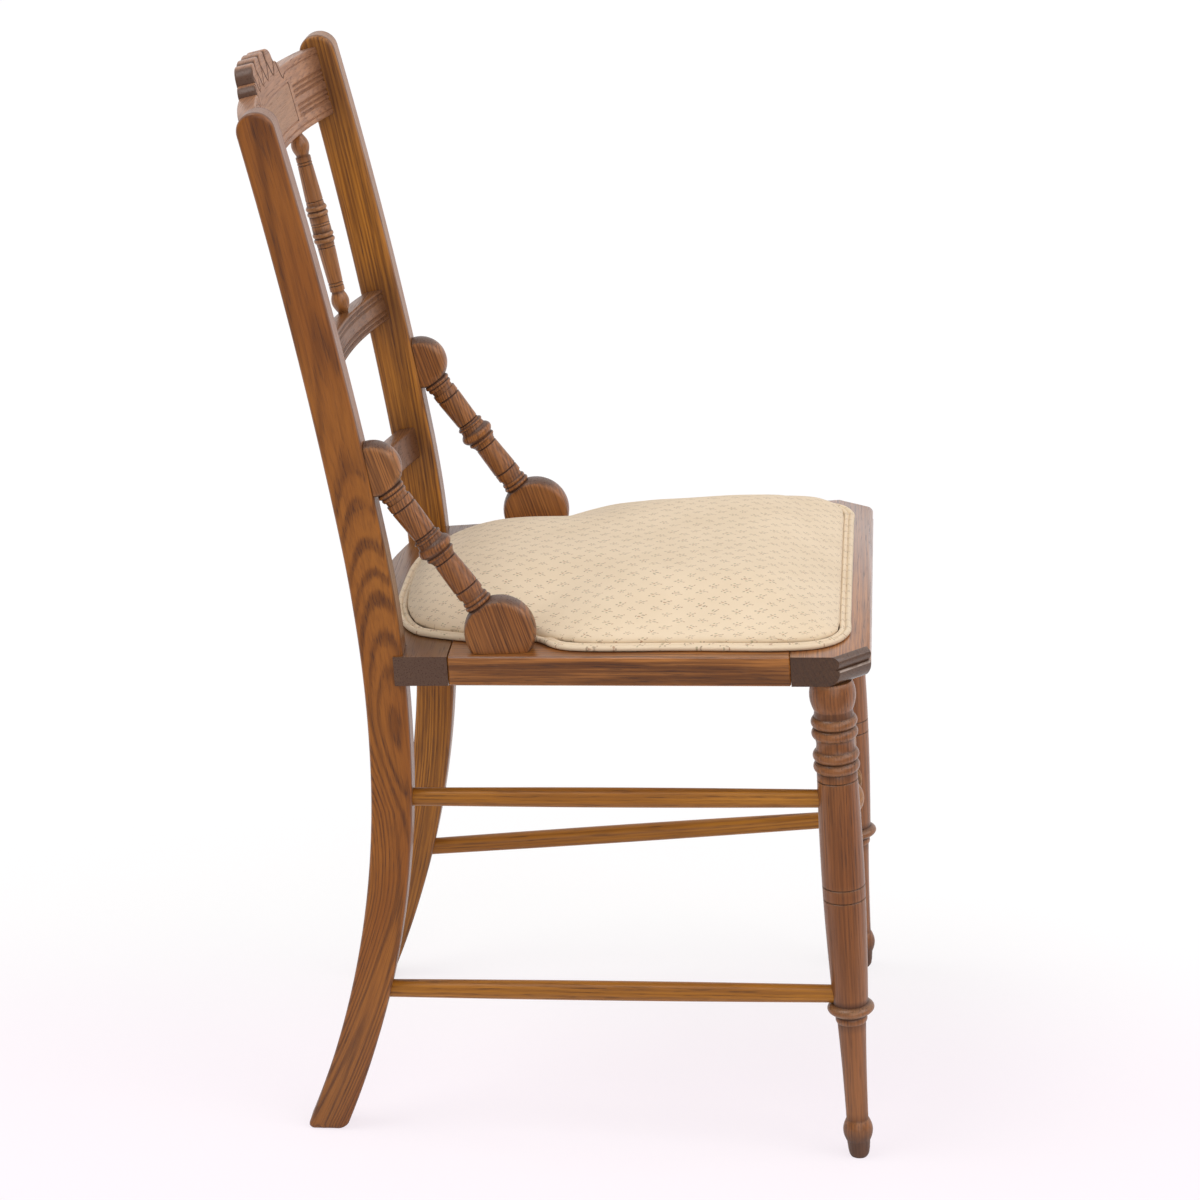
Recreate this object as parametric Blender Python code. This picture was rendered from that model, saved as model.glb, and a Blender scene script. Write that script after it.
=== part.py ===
"""Pressed back side chair: turned front legs, sabre back posts, a bowed back and a padded seat.

Metres, +Z up, the chair stands on Z = 0. The sitter faces -Y, so "right" is the -X side.
Every piece is its own object, and pieces that join have a tenon, dowel or turned end in a cut socket.
"""

import math

import bmesh
import bpy
from mathutils import Matrix, Vector

# Clearances
TOUCH_GAP = 0.0003            # between two faces that bear on each other
SOCKET_CLEARANCE = 0.0003     # round a tenon, dowel or turned end in its socket
SOCKET_FLOOR = 0.0006         # from a tip to the floor of its socket

# Back posts
POST_HEIGHT = 0.900
POST_THICKNESS = 0.0274
POST_HALF_SPREAD_FOOT = 0.1725
POST_HALF_SPREAD_TOP = 0.1860
POST_WAIST_Z = 0.335
POST_WAIST_Y = 0.156
POST_FOOT_RADIUS = 0.870
POST_LUMBAR_RADIUS = 1.200
POST_LUMBAR_TOP_Z = 0.540
POST_BACK_RADIUS = 4.500
POST_WIDEST_Z = 0.480
POST_SEAT_WIDTH = 0.0364
POST_FOOT_WIDTH = 0.0318
POST_TOP_WIDTH = 0.0314
POST_ARRIS = 0.0035
POST_STATIONS = 20
POST_TOP_STEPS = 8

# Back rails: height of the centre, size, and place of the front face from the post's centre line
RAIL_BOW = 0.0195
RAIL_TENON_LENGTH = 0.016
RAIL_TENON_THICKNESS = 0.008
RAIL_TENON_SHOULDER = 0.006
RAIL_ARRIS = 0.0015
CREST_FROM_POST_TOP = 0.0395
CREST_Z = POST_HEIGHT - CREST_FROM_POST_TOP
CREST_HEIGHT = 0.0615
CREST_THICKNESS = 0.0165
CREST_FACE = -0.0005
MID_RAIL_SHARE = 0.73033
MID_RAIL_Z = POST_HEIGHT * MID_RAIL_SHARE
MID_RAIL_HEIGHT = 0.0287
MID_RAIL_THICKNESS = 0.016
MID_RAIL_FACE = -0.003
LOWER_RAIL_SHARE = 0.5880
LOWER_RAIL_Z = POST_HEIGHT * LOWER_RAIL_SHARE
LOWER_RAIL_HEIGHT = 0.0285
LOWER_RAIL_THICKNESS = 0.016
LOWER_RAIL_FACE = -0.005

# Pressed reeds of the crest's ends and of the mid rail
REED_DEPTH = 0.0014
REED_HALF_WIDTH = 0.0014
REED_PITCH = 0.0044
CREST_REED_START = 0.080
CREST_REED_RAMP = 0.0025
CREST_REED_GROUPS = (-0.0127, 0.0047)
CREST_REEDS_IN_GROUP = 3
MID_REED_EDGE = 0.0040
MID_REEDS_AT_EDGE = 2

# Lobed crown in the middle of the crest
CROWN_LOBES = 4
CROWN_HALF_WIDTH = 0.048
CROWN_RISE = 0.0185
CROWN_SPRING = 0.0090
LOBE_RISE = 0.0045
FLUTE_DEPTH = 0.0030
LOBE_STEPS = 4
SHOULDER_HALF_WIDTH = 0.0595
SHOULDER_RISE = 0.0080
SHOULDER_DROP = 0.0030
CREST_TOP_ROUND = 0.0020

# Turned back spindles
SPINDLE_COUNT = 3
SPINDLE_END_RADIUS = 0.0045
SPINDLE_TENON = 0.010
SPINDLE_FROM_CREST_FACE = 0.0072
SPINDLE_FROM_MID_FACE = 0.0098
SPINDLE_BULB_LENGTH = 0.0190
SPINDLE_BULB_RADIUS = 0.0079
SPINDLE_NECK_RADIUS = 0.0056
SPINDLE_NECK_LENGTH = 0.0015
SPINDLE_SHAFT_END_RADIUS = 0.0066
SPINDLE_SHAFT_RADIUS = 0.0078
SPINDLE_RING_RADIUS = 0.0093
SPINDLE_RING_LENGTH = 0.0050
SPINDLE_DRUM_RADIUS = 0.0084
SPINDLE_DRUM_LENGTH = 0.0140

# Seat frame: flat rails that tip back a little
SEAT_REAR_TOP = 0.4417
SEAT_TILT = 0.0486
SEAT_DEPTH = 0.3882
SEAT_HALF_REAR = 0.181
SEAT_HALF_FRONT = 0.2185
SEAT_RAIL_THICKNESS = 0.0255
REAR_RAIL_WIDTH = 0.0364
REAR_RAIL_TONGUE = 0.0290
REAR_RAIL_BOW = 0.0200
SIDE_RAIL_WIDTH = 0.052
FRONT_RAIL_WIDTH = 0.0655
FRONT_CORNER_ALONG_SIDE = 0.0255
FRONT_CORNER_ALONG_FRONT = 0.0240
NOSING = 0.0075
RAIL_EDGE = 0.0012

# Turned front legs
LEG_X = 0.1985
LEG_SETBACK = 0.0330
LEG_FORWARD = 0.0272
LEG_TENON_RADIUS = 0.011
LEG_TENON_LENGTH = 0.018
LEG_BALL_LENGTH = 0.0259
LEG_BALL_RADIUS = 0.01935
LEG_BALL_SEAT_RADIUS = 0.0165
LEG_NECK_RADIUS = 0.0160
LEG_NECK_LENGTH = 0.0050
LEG_RING_LENGTH = 0.0098
LEG_RING_RADIUS = 0.0194
LEG_RING_BASE = 0.0166
LEG_SHAFT_TOP_RADIUS = 0.01685
LEG_SHAFT_SWELL = 0.0022
LEG_SHAFT_LOW_RADIUS = 0.0149
LEG_COLLAR_Z = 0.1335
LEG_COLLAR_LENGTH = 0.0105
LEG_COLLAR_RADIUS = 0.01995
LEG_FILLET_RADIUS = 0.0135
LEG_FILLET_LENGTH = 0.0040
LEG_ANKLE_TOP_RADIUS = 0.0122
LEG_ANKLE_LOW_RADIUS = 0.0094
LEG_FOOT_BALL_RADIUS = 0.01275
LEG_FOOT_BALL_LENGTH = 0.0208
LEG_TIP_LENGTH = 0.0150
LEG_TIP_RADIUS = 0.0086

# Stretchers
STRETCHER_END_RADIUS = 0.0062
STRETCHER_SWELL = 0.0018
STRETCHER_TENON = 0.014
STRETCHER_TIP_FROM_LEG_AXIS = 0.005
UPPER_STRETCHER_LEG_Z = 0.328
UPPER_STRETCHER_POST_Z = 0.310
LOWER_STRETCHER_LEG_Z = 0.151
LOWER_STRETCHER_POST_Z = 0.131
FRONT_STRETCHER_Z = 0.250
FRONT_STRETCHER_END_RADIUS = 0.0068
FRONT_STRETCHER_SHAFT_RADIUS = 0.0092
FRONT_STRETCHER_RING_RADIUS = 0.0135
FRONT_STRETCHER_RING_LENGTH = 0.008
FRONT_STRETCHER_COVE_LENGTH = 0.014
FRONT_STRETCHER_COVE_RADIUS = 0.0095
FRONT_STRETCHER_BULB_RADIUS = 0.0158
FRONT_STRETCHER_BULB_LENGTH = 0.046

# Hip braces, turned, with ball ends cut flat
BRACE_UPPER_SHARE = 0.66722
BRACE_UPPER_Z = POST_HEIGHT * BRACE_UPPER_SHARE
BRACE_UPPER_RADIUS = 0.0237
BRACE_UPPER_STANDOFF = 0.0034
BRACE_FROM_SIDE = 0.0194
BRACE_LOWER_FROM_REAR = 0.0813
BRACE_LOWER_RADIUS = 0.0302
BRACE_LOWER_STANDOFF = 0.0166
BRACE_KNOB_THICKNESS = 0.023
BRACE_NECK_RADIUS = 0.0108
BRACE_COLLAR_RADIUS = 0.0124
BRACE_COLLAR_LENGTH = 0.008
BRACE_GROOVE_RADIUS = 0.0100
BRACE_GROOVE_LENGTH = 0.004
BRACE_SHAFT_END_RADIUS = 0.0113
BRACE_SHAFT_RADIUS = 0.0104
BRACE_MIDDLE_SHOULDER_RADIUS = 0.0130
BRACE_MIDDLE_SHOULDER_LENGTH = 0.007
BRACE_MIDDLE_BEAD_RADIUS = 0.0150
BRACE_MIDDLE_BEAD_LENGTH = 0.009

# Dowels and screws
DOWEL_RADIUS = 0.004
FRAME_DOWEL_LENGTH = 0.032
FRAME_DOWEL_INSET = 0.013
POST_DOWEL_IN_RAIL = 0.013
POST_DOWEL_IN_POST = 0.018
BRACE_DOWEL_IN_KNOB = 0.012
BRACE_DOWEL_IN_SEAT = 0.014
SCREW_RADIUS = 0.0020
SCREW_HEAD_RADIUS = 0.0042
SCREW_HEAD_HEIGHT = 0.0025
SCREW_HEAD_RECESS = 0.0030
SCREW_BITE = 0.0036
SCREW_HALF_SPACING = 0.070
SCREW_FROM_RAIL_EDGE = 0.012

# Padded seat
CUSHION_REAR_MARGIN = 0.0265
CUSHION_POST_MARGIN = 0.0120
CUSHION_BRACE_MARGIN = 0.0030
CUSHION_SIDE_MARGIN = 0.0130
CUSHION_FRONT_MARGIN = 0.0165
CUSHION_CORNER = 0.0400
CUSHION_WALL = 0.008
CUSHION_CROWN = 0.036
CUSHION_TUCK = 0.004
WELT_CORD = 0.0050
BOARD_THICKNESS = 0.005
BOARD_SHARE = 0.900
BOARD_CLEARANCE = 0.003
CUSHION_POINTS = 48

# Facets
LEG_SEGMENTS = 14
BRACE_SEGMENTS = 12
TURNED_SEGMENTS = 10
DOWEL_SEGMENTS = 8

# Colours: base colour, roughness, metallic
OAK = ("oak_brown", (0.270, 0.105, 0.032), 0.42, 0.0)
STRETCHER_OAK = ("oak_golden", (0.330, 0.150, 0.045), 0.45, 0.0)
BEECH_DOWEL = ("beech_dowel", (0.560, 0.380, 0.210), 0.60, 0.0)
PLYWOOD = ("plywood", (0.520, 0.360, 0.190), 0.70, 0.0)
SPRIG_CLOTH = ("cream_cloth", (0.800, 0.660, 0.430), 0.90, 0.0)
SCREW_STEEL = ("screw_steel", (0.420, 0.410, 0.390), 0.40, 1.0)

SIDES = ((-1, "right"), (1, "left"))


# Scene helpers

def clear_scene():
    """Remove every object from the scene."""
    for thing in list(bpy.data.objects):
        bpy.data.objects.remove(thing)


def finish(name, mesh_data, smooth_angle=35.0):
    """Turn a bmesh into a linked object with outward faces and smooth shading."""
    bmesh.ops.remove_doubles(mesh_data, verts=mesh_data.verts, dist=1e-6)
    bmesh.ops.recalc_face_normals(mesh_data, faces=mesh_data.faces)
    if mesh_data.calc_volume(signed=True) < 0.0:
        bmesh.ops.reverse_faces(mesh_data, faces=mesh_data.faces)
    mesh = bpy.data.meshes.new(name)
    mesh_data.to_mesh(mesh)
    mesh_data.free()
    mesh.shade_smooth()
    mesh.set_sharp_from_angle(angle=math.radians(smooth_angle))
    piece = bpy.data.objects.new(name, mesh)
    bpy.context.collection.objects.link(piece)
    return piece


def colour(piece, finish_values):
    """Give a piece its own material."""
    finish_name, base, roughness, metallic = finish_values
    material = bpy.data.materials.new(f"{piece.name}_{finish_name}")
    material.use_nodes = True
    shader = material.node_tree.nodes["Principled BSDF"]
    shader.inputs["Base Color"].default_value = (*base, 1.0)
    shader.inputs["Roughness"].default_value = roughness
    shader.inputs["Metallic"].default_value = metallic
    piece.data.materials.clear()
    piece.data.materials.append(material)


def bake(piece):
    """Replace a piece's mesh by what its modifiers give."""
    bpy.context.view_layer.update()
    evaluated = piece.evaluated_get(bpy.context.evaluated_depsgraph_get())
    baked = bpy.data.meshes.new_from_object(evaluated)
    old = piece.data
    piece.modifiers.clear()
    piece.data = baked
    baked.name = piece.name
    bpy.data.meshes.remove(old)


def combine(piece, tool, operation):
    """Apply a Boolean of tool to piece, and remove the tool."""
    step = piece.modifiers.new(operation, "BOOLEAN")
    step.operation = operation
    step.solver = "EXACT"
    step.object = tool
    bake(piece)
    bpy.data.objects.remove(tool)


def round_edges(piece, width, segments=2):
    """Round a piece's square arrises."""
    step = piece.modifiers.new("arris", "BEVEL")
    step.width = width
    step.segments = segments
    step.limit_method = "ANGLE"
    step.angle_limit = math.radians(50.0)
    bake(piece)


def along(start, end):
    """Matrix that stands local Z on the line from start to end, with local X as near world X as it can be."""
    axis = (end - start).normalized()
    side = Vector((1.0, 0.0, 0.0))
    if abs(axis.dot(side)) > 0.9:
        side = Vector((0.0, 1.0, 0.0))
    side = (side - axis * side.dot(axis)).normalized()
    across = axis.cross(side)
    turn = Matrix((side, across, axis)).transposed().to_4x4()
    return Matrix.Translation(start) @ turn


def place(piece, matrix):
    """Set a piece's location and rotation from a matrix."""
    piece.location = matrix.to_translation()
    piece.rotation_euler = matrix.to_euler()
    bpy.context.view_layer.update()
    return piece


def loft(name, rings, closed=False):
    """Skin a row of rings of equal count, with flat caps unless the row closes on itself."""
    shape = bmesh.new()
    rows = [[shape.verts.new(point) for point in ring] for ring in rings]
    count = len(rows[0])
    pairs = list(zip(rows, rows[1:]))
    if closed:
        pairs.append((rows[-1], rows[0]))
    for low, high in pairs:
        for i in range(count):
            j = (i + 1) % count
            shape.faces.new((low[i], low[j], high[j], high[i]))
    if not closed:
        shape.faces.new(rows[0])
        shape.faces.new(rows[-1])
    return finish(name, shape)


def turned(name, profile, segments):
    """Spin a profile of (height, radius) points round local Z into a closed solid."""
    shape = bmesh.new()
    outline = [(profile[0][0], 0.0)] + list(profile) + [(profile[-1][0], 0.0)]
    points = [shape.verts.new((radius, 0.0, height)) for height, radius in outline]
    edges = [shape.edges.new(pair) for pair in zip(points, points[1:])]
    bmesh.ops.spin(shape, geom=points + edges, cent=(0.0, 0.0, 0.0), axis=(0.0, 0.0, 1.0),
                   angle=math.tau, steps=segments, use_merge=True)
    return finish(name, shape)


def slice_off(piece, point, normal):
    """Cut away what lies beyond a world plane, on the side its normal points to, and close the cut."""
    local = piece.matrix_world.inverted()
    shape = bmesh.new()
    shape.from_mesh(piece.data)
    geometry = shape.verts[:] + shape.edges[:] + shape.faces[:]
    cut = bmesh.ops.bisect_plane(shape, geom=geometry, plane_co=local @ point,
                                 plane_no=local.to_3x3() @ normal, clear_outer=True)
    edges = [item for item in cut["geom_cut"] if isinstance(item, bmesh.types.BMEdge)]
    bmesh.ops.holes_fill(shape, edges=edges, sides=0)
    bmesh.ops.recalc_face_normals(shape, faces=shape.faces)
    shape.to_mesh(piece.data)
    shape.free()


def drill(piece, start, end, radius, segments=TURNED_SEGMENTS):
    """Bore a round socket whose flats clear a turned end of the given radius."""
    flat_radius = (radius + SOCKET_CLEARANCE) / math.cos(math.pi / segments)
    tool = turned("drill", [(0.0, flat_radius), ((end - start).length, flat_radius)], segments)
    place(tool, along(start, end))
    combine(piece, tool, "DIFFERENCE")


def block(name, low, high, matrix):
    """Box between two local corners, placed by a matrix."""
    shape = bmesh.new()
    bmesh.ops.create_cube(shape, size=1.0)
    middle = (low + high) / 2
    for vert in shape.verts:
        vert.co = middle + Vector(a * b for a, b in zip(vert.co, high - low))
    return place(finish(name, shape), matrix)


class Turning:
    """A lathe profile, cut feature by feature from one end of the blank to the other."""

    def __init__(self, start, radius):
        self.points = [(start, radius)]

    def run(self, length, radius=None):
        """Straight or tapered stretch to a new radius."""
        height, old = self.points[-1]
        self.points.append((height + length, old if radius is None else radius))
        return self

    def step(self, radius):
        """Square shoulder to a new radius."""
        self.points.append((self.points[-1][0], radius))
        return self

    def bulge(self, length, end_radius, rise, steps):
        """Rounded stretch that stands rise above, or below, the line between its two end radii."""
        height, old = self.points[-1]
        for i in range(1, steps + 1):
            share = i / steps
            radius = old + (end_radius - old) * share + rise * math.sin(math.pi * share)
            self.points.append((height + length * share, radius))
        return self

    def bead(self, length, peak, steps=3):
        """Half round ring that rises from the present radius to peak and returns."""
        base = self.points[-1][1]
        rise = (peak - base) / math.sin(math.pi * (steps // 2) / steps)
        return self.bulge(length, base, rise, steps)

    def mirrored(self):
        """The profile followed by its mirror image about its last point."""
        end = self.points[-1][0]
        back = [(2 * end - height, radius) for height, radius in reversed(self.points[:-1])]
        return self.points + back


# Back posts

def post_line(z):
    """Centre line of a post in side view: Y at height z, and its lean from upright."""
    if z < POST_WAIST_Z:
        lean = math.asin((z - POST_WAIST_Z) / POST_FOOT_RADIUS)
        return POST_WAIST_Y + POST_FOOT_RADIUS * (1 - math.cos(lean)), lean
    low_z = min(z, POST_LUMBAR_TOP_Z)
    lean = math.asin((low_z - POST_WAIST_Z) / POST_LUMBAR_RADIUS)
    y = POST_WAIST_Y + POST_LUMBAR_RADIUS * (1 - math.cos(lean))
    if z <= POST_LUMBAR_TOP_Z:
        return y, lean
    upper = math.asin(math.sin(lean) + (z - POST_LUMBAR_TOP_Z) / POST_BACK_RADIUS)
    return y + POST_BACK_RADIUS * (math.cos(lean) - math.cos(upper)), upper


def post_width(z):
    """Width of a post square to its centre line."""
    if z < POST_WIDEST_Z:
        share = (POST_WIDEST_Z - z) / POST_WIDEST_Z
        return POST_SEAT_WIDTH + (POST_FOOT_WIDTH - POST_SEAT_WIDTH) * share
    share = (z - POST_WIDEST_Z) / (POST_HEIGHT - POST_WIDEST_Z)
    return POST_SEAT_WIDTH + (POST_TOP_WIDTH - POST_SEAT_WIDTH) * share


def post_outer(z):
    """Distance of a post's outer face from the chair's middle plane."""
    return POST_HALF_SPREAD_FOOT + (POST_HALF_SPREAD_TOP - POST_HALF_SPREAD_FOOT) * z / POST_HEIGHT


def post_inner(z):
    """Distance of a post's inner face from the chair's middle plane."""
    return post_outer(z) - POST_THICKNESS


def post_middle(z):
    """Distance of the middle of a post's thickness from the chair's middle plane."""
    return post_outer(z) - POST_THICKNESS / 2


def post_front(z):
    """Y of a post's front edge at height z."""
    y, lean = post_line(z)
    return y - post_width(z) / 2 / math.cos(lean)


def post_outline(grow):
    """Side view of a post as (y, z) points, grown outwards all round."""
    below_floor = -POST_FOOT_WIDTH
    round_z = POST_HEIGHT - POST_TOP_WIDTH / 2
    front = []
    back = []
    for i in range(POST_STATIONS + 1):
        z = below_floor + (round_z - below_floor) * i / POST_STATIONS
        y, lean = post_line(z)
        reach = post_width(z) / 2 + grow
        front.append((y - math.cos(lean) * reach, z + math.sin(lean) * reach))
        back.append((y + math.cos(lean) * reach, z - math.sin(lean) * reach))
    y, lean = post_line(round_z)
    reach = post_width(round_z) / 2 + grow
    top = []
    for i in range(1, POST_TOP_STEPS):
        turn = math.pi * i / POST_TOP_STEPS
        top.append((y - reach * math.cos(turn + lean), round_z + reach * math.sin(turn + lean)))
    return front + top + back[::-1]


def post_solid(name, side, grow=0.0):
    """Square edged post, on the side that the sign gives, cut level at the floor."""
    rings = []
    for face in (post_outer, post_inner):
        edge = grow if face is post_outer else -grow
        rings.append([Vector((side * (face(z) + edge), y, z)) for y, z in post_outline(grow)])
    post = loft(name, rings)
    slice_off(post, Vector((0.0, 0.0, 0.0)), Vector((0.0, 0.0, -1.0)))
    return post


# Bowed back rails

class BackRail:
    """A bowed rail between the posts, with its own frame: X across, Y to the back, Z up along the post."""

    def __init__(self, name, z, height, thickness, face):
        self.name = name
        self.z = z
        self.height = height
        self.thickness = thickness
        self.face = face
        y, self.lean = post_line(z)
        self.frame = Matrix.Translation((0.0, y, z)) @ Matrix.Rotation(-self.lean, 4, "X")
        self.half = post_inner(z)

    def end(self, back, up):
        """Distance of the rail's shoulder from the middle, at a point of its end face."""
        z = self.z + up * math.cos(self.lean) - back * math.sin(self.lean)
        return post_inner(z) - TOUCH_GAP

    def bowed(self, x, back, up):
        """A point of the unbent rail, in the rail's frame, moved level to the back by the bow at x."""
        radius = (self.half ** 2 + RAIL_BOW ** 2) / (2 * RAIL_BOW)
        bow = math.sqrt(radius ** 2 - x ** 2) - (radius - RAIL_BOW)
        return Vector((x, back + bow * math.cos(self.lean), up + bow * math.sin(self.lean)))

    def skin(self, columns, section):
        """Loft a section, which may change along X, over columns of X from 0 to the shoulder."""
        halves = [-x for x in reversed(columns[1:])] + list(columns)
        rings = []
        for x in halves:
            ring = []
            for depth, up in section(abs(x)):
                back = self.face + depth
                place_x = x
                if abs(x) == columns[-1]:
                    place_x = math.copysign(self.end(back, up), x)
                ring.append(self.bowed(place_x, back, up))
            rings.append(ring)
        rail = place(loft(self.name, rings), self.frame)
        for side in (-1, 1):
            combine(rail, self.tenon("tenon", side, RAIL_ARRIS * 4, 0.0, 0.0), "UNION")
        return rail

    def tenon(self, name, side, root, clearance, floor):
        """Tenon of one end, or its mortise when given a clearance and a floor."""
        middle = self.face + self.thickness / 2
        half_thick = RAIL_TENON_THICKNESS / 2 + clearance
        half_high = self.height / 2 - RAIL_TENON_SHOULDER + clearance
        ends = sorted((side * (self.half - root), side * (self.half + RAIL_TENON_LENGTH + floor)))
        low = Vector((ends[0], middle - half_thick, -half_high))
        high = Vector((ends[1], middle + half_thick, half_high))
        return block(name, low, high, self.frame)

    def mortise(self, post, side):
        """Cut the post for this rail's tenon."""
        combine(post, self.tenon("mortise", side, RAIL_TENON_LENGTH, SOCKET_CLEARANCE, SOCKET_FLOOR),
                "DIFFERENCE")

    def edge_point(self, x, depth, up):
        """World point of the rail at a depth behind its front face."""
        return self.frame @ self.bowed(x, self.face + depth, up)


def steps(low, high, count):
    """Evenly spaced values from low to high, both included."""
    return [low + (high - low) * i / count for i in range(count + 1)]


def plain_section(rail, grooves=()):
    """Rail section with eased arrises and V grooves across its front at the given heights."""
    top = rail.height / 2
    ring = [(RAIL_ARRIS, -top), (0.0, -top + RAIL_ARRIS)]
    for up in grooves:
        ring += [(0.0, up - REED_HALF_WIDTH), (REED_DEPTH, up), (0.0, up + REED_HALF_WIDTH)]
    ring += [(0.0, top - RAIL_ARRIS), (RAIL_ARRIS, top)]
    back = rail.thickness
    ring += [(back - RAIL_ARRIS, top), (back, top - RAIL_ARRIS)]
    ring += [(back, -top + RAIL_ARRIS), (back - RAIL_ARRIS, -top)]
    return ring


def make_lower_rail(rail):
    """Plain lower back rail."""
    return rail.skin(steps(0.0, rail.half, 6), lambda x: plain_section(rail))


def make_mid_rail(rail):
    """Mid back rail with reeds pressed along its top and bottom edges."""
    upper = [rail.height / 2 - MID_REED_EDGE - REED_PITCH * i for i in range(MID_REEDS_AT_EDGE)]
    grooves = sorted(upper + [-up for up in upper])
    return rail.skin(steps(0.0, rail.half, 6), lambda x: plain_section(rail, grooves))


def lobe(x):
    """Round swell of the crown's lobes, 0 in a valley and 1 on a crest."""
    pitch = 2 * CROWN_HALF_WIDTH / CROWN_LOBES
    across = 2 * ((x + CROWN_HALF_WIDTH) / pitch % 1.0) - 1
    return math.sqrt(max(0.0, 1 - across ** 2))


def crest_top(rail, x):
    """Height of the crest's top edge above the rail's own middle, at a distance x from the centre."""
    plain = rail.height / 2
    if x <= CROWN_HALF_WIDTH:
        arch = math.sqrt(max(0.0, 1 - (x / CROWN_HALF_WIDTH) ** 4))
        return plain + CROWN_SPRING + (CROWN_RISE - CROWN_SPRING) * arch + LOBE_RISE * lobe(x)
    if x <= SHOULDER_HALF_WIDTH:
        share = (x - CROWN_HALF_WIDTH) / (SHOULDER_HALF_WIDTH - CROWN_HALF_WIDTH)
        return plain + SHOULDER_RISE - (SHOULDER_RISE - SHOULDER_DROP) * share ** 3
    return plain


def make_crest(rail):
    """Crest rail: reeds pressed into both ends, and a lobed crown that runs over the top edge."""
    reeds = []
    for middle in CREST_REED_GROUPS:
        first = middle - REED_PITCH * (CREST_REEDS_IN_GROUP - 1) / 2
        reeds += [first + REED_PITCH * i for i in range(CREST_REEDS_IN_GROUP)]
    flute_foot = reeds[-1] + 2 * REED_PITCH
    flute_rows = (0.35, 0.65, 0.90)

    def section(x):
        bottom = -rail.height / 2
        top = crest_top(rail, x)
        pressed = REED_DEPTH if x >= CREST_REED_START + CREST_REED_RAMP else 0.0
        fluted = FLUTE_DEPTH * (1 - lobe(x)) if x < CROWN_HALF_WIDTH else 0.0
        ring = [(RAIL_ARRIS, bottom), (0.0, bottom + RAIL_ARRIS)]
        for up in reeds:
            ring += [(0.0, up - REED_HALF_WIDTH), (pressed, up), (0.0, up + REED_HALF_WIDTH)]
        ring.append((0.0, flute_foot))
        for share in flute_rows:
            ring.append((fluted * share ** 2, flute_foot + (top - flute_foot) * share))
        ring.append((CREST_TOP_ROUND + fluted / 2, top))
        ring += [(rail.thickness - CREST_TOP_ROUND, top), (rail.thickness, top - CREST_TOP_ROUND)]
        ring += [(rail.thickness, bottom + RAIL_ARRIS), (rail.thickness - RAIL_ARRIS, bottom)]
        return ring

    lobe_columns = steps(0.0, CROWN_HALF_WIDTH, LOBE_STEPS * CROWN_LOBES // 2)
    shoulder = [CROWN_HALF_WIDTH + RAIL_ARRIS, (CROWN_HALF_WIDTH + SHOULDER_HALF_WIDTH) / 2]
    shoulder += [SHOULDER_HALF_WIDTH, SHOULDER_HALF_WIDTH + RAIL_ARRIS]
    reeded = [CREST_REED_START] + steps(CREST_REED_START + CREST_REED_RAMP, rail.half, 4)
    return rail.skin(lobe_columns + shoulder + reeded, section)


def spindle_place(i, z):
    """X of a spindle at height z: the spindles part the back into even bays."""
    return post_inner(z) * (2 * (i + 1) / (SPINDLE_COUNT + 1) - 1)


def make_spindle(i, crest, mid):
    """Turned spindle between the mid rail and the crest, seated in bored sockets."""
    low = mid.edge_point(spindle_place(i, mid.z), SPINDLE_FROM_MID_FACE, mid.height / 2)
    high = crest.edge_point(spindle_place(i, crest.z), SPINDLE_FROM_CREST_FACE, -crest.height / 2)
    half = (high - low).length / 2
    cut = Turning(-SPINDLE_TENON, SPINDLE_END_RADIUS).run(SPINDLE_TENON + RAIL_ARRIS)
    bulb_rise = SPINDLE_BULB_RADIUS - (SPINDLE_END_RADIUS + SPINDLE_NECK_RADIUS) / 2
    cut.bulge(SPINDLE_BULB_LENGTH - RAIL_ARRIS, SPINDLE_NECK_RADIUS, bulb_rise, 6)
    cut.run(SPINDLE_NECK_LENGTH).step(SPINDLE_SHAFT_END_RADIUS)
    used = cut.points[-1][0] + 2 * SPINDLE_RING_LENGTH + SPINDLE_DRUM_LENGTH / 2
    cut.run(half - used, SPINDLE_SHAFT_RADIUS)
    cut.bead(SPINDLE_RING_LENGTH, SPINDLE_RING_RADIUS).bead(SPINDLE_RING_LENGTH, SPINDLE_RING_RADIUS)
    cut.step(SPINDLE_DRUM_RADIUS).run(SPINDLE_DRUM_LENGTH / 2)
    names = ("back_spindle_right", "back_spindle_centre", "back_spindle_left")
    name = names[i] if SPINDLE_COUNT == len(names) else f"back_spindle_{i + 1}"
    spindle = place(turned(name, cut.mirrored(), TURNED_SEGMENTS), along(low, high))
    return spindle, low, high


def bore_for_spindle(rail, point, inwards):
    """Bore a rail's edge for one spindle end, with the axis pointing into the rail."""
    drill(rail, point - inwards * SPINDLE_TENON, point + inwards * (SPINDLE_TENON + SOCKET_FLOOR),
          SPINDLE_END_RADIUS)


# Seat frame

def seat_matrix():
    """Frame of the seat: origin on its top where the posts bear, Y to the back, Z square to the seat."""
    z = SEAT_REAR_TOP - SEAT_RAIL_THICKNESS / 2
    return Matrix.Translation((0.0, post_front(z), SEAT_REAR_TOP)) @ Matrix.Rotation(-SEAT_TILT, 4, "X")


SEAT = seat_matrix()


def side_edge(y):
    """Half width of the seat frame at a place along it."""
    straight = SEAT_DEPTH - FRONT_CORNER_ALONG_SIDE
    return SEAT_HALF_REAR + (SEAT_HALF_FRONT - SEAT_HALF_REAR) * -y / straight


def slab(name, outline, thickness, bottom):
    """Flat board of a plan outline in the seat's own frame."""
    rings = [[Vector((x, y, z)) for x, y in outline] for z in (bottom, bottom + thickness)]
    return place(loft(name, rings), SEAT)


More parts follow.
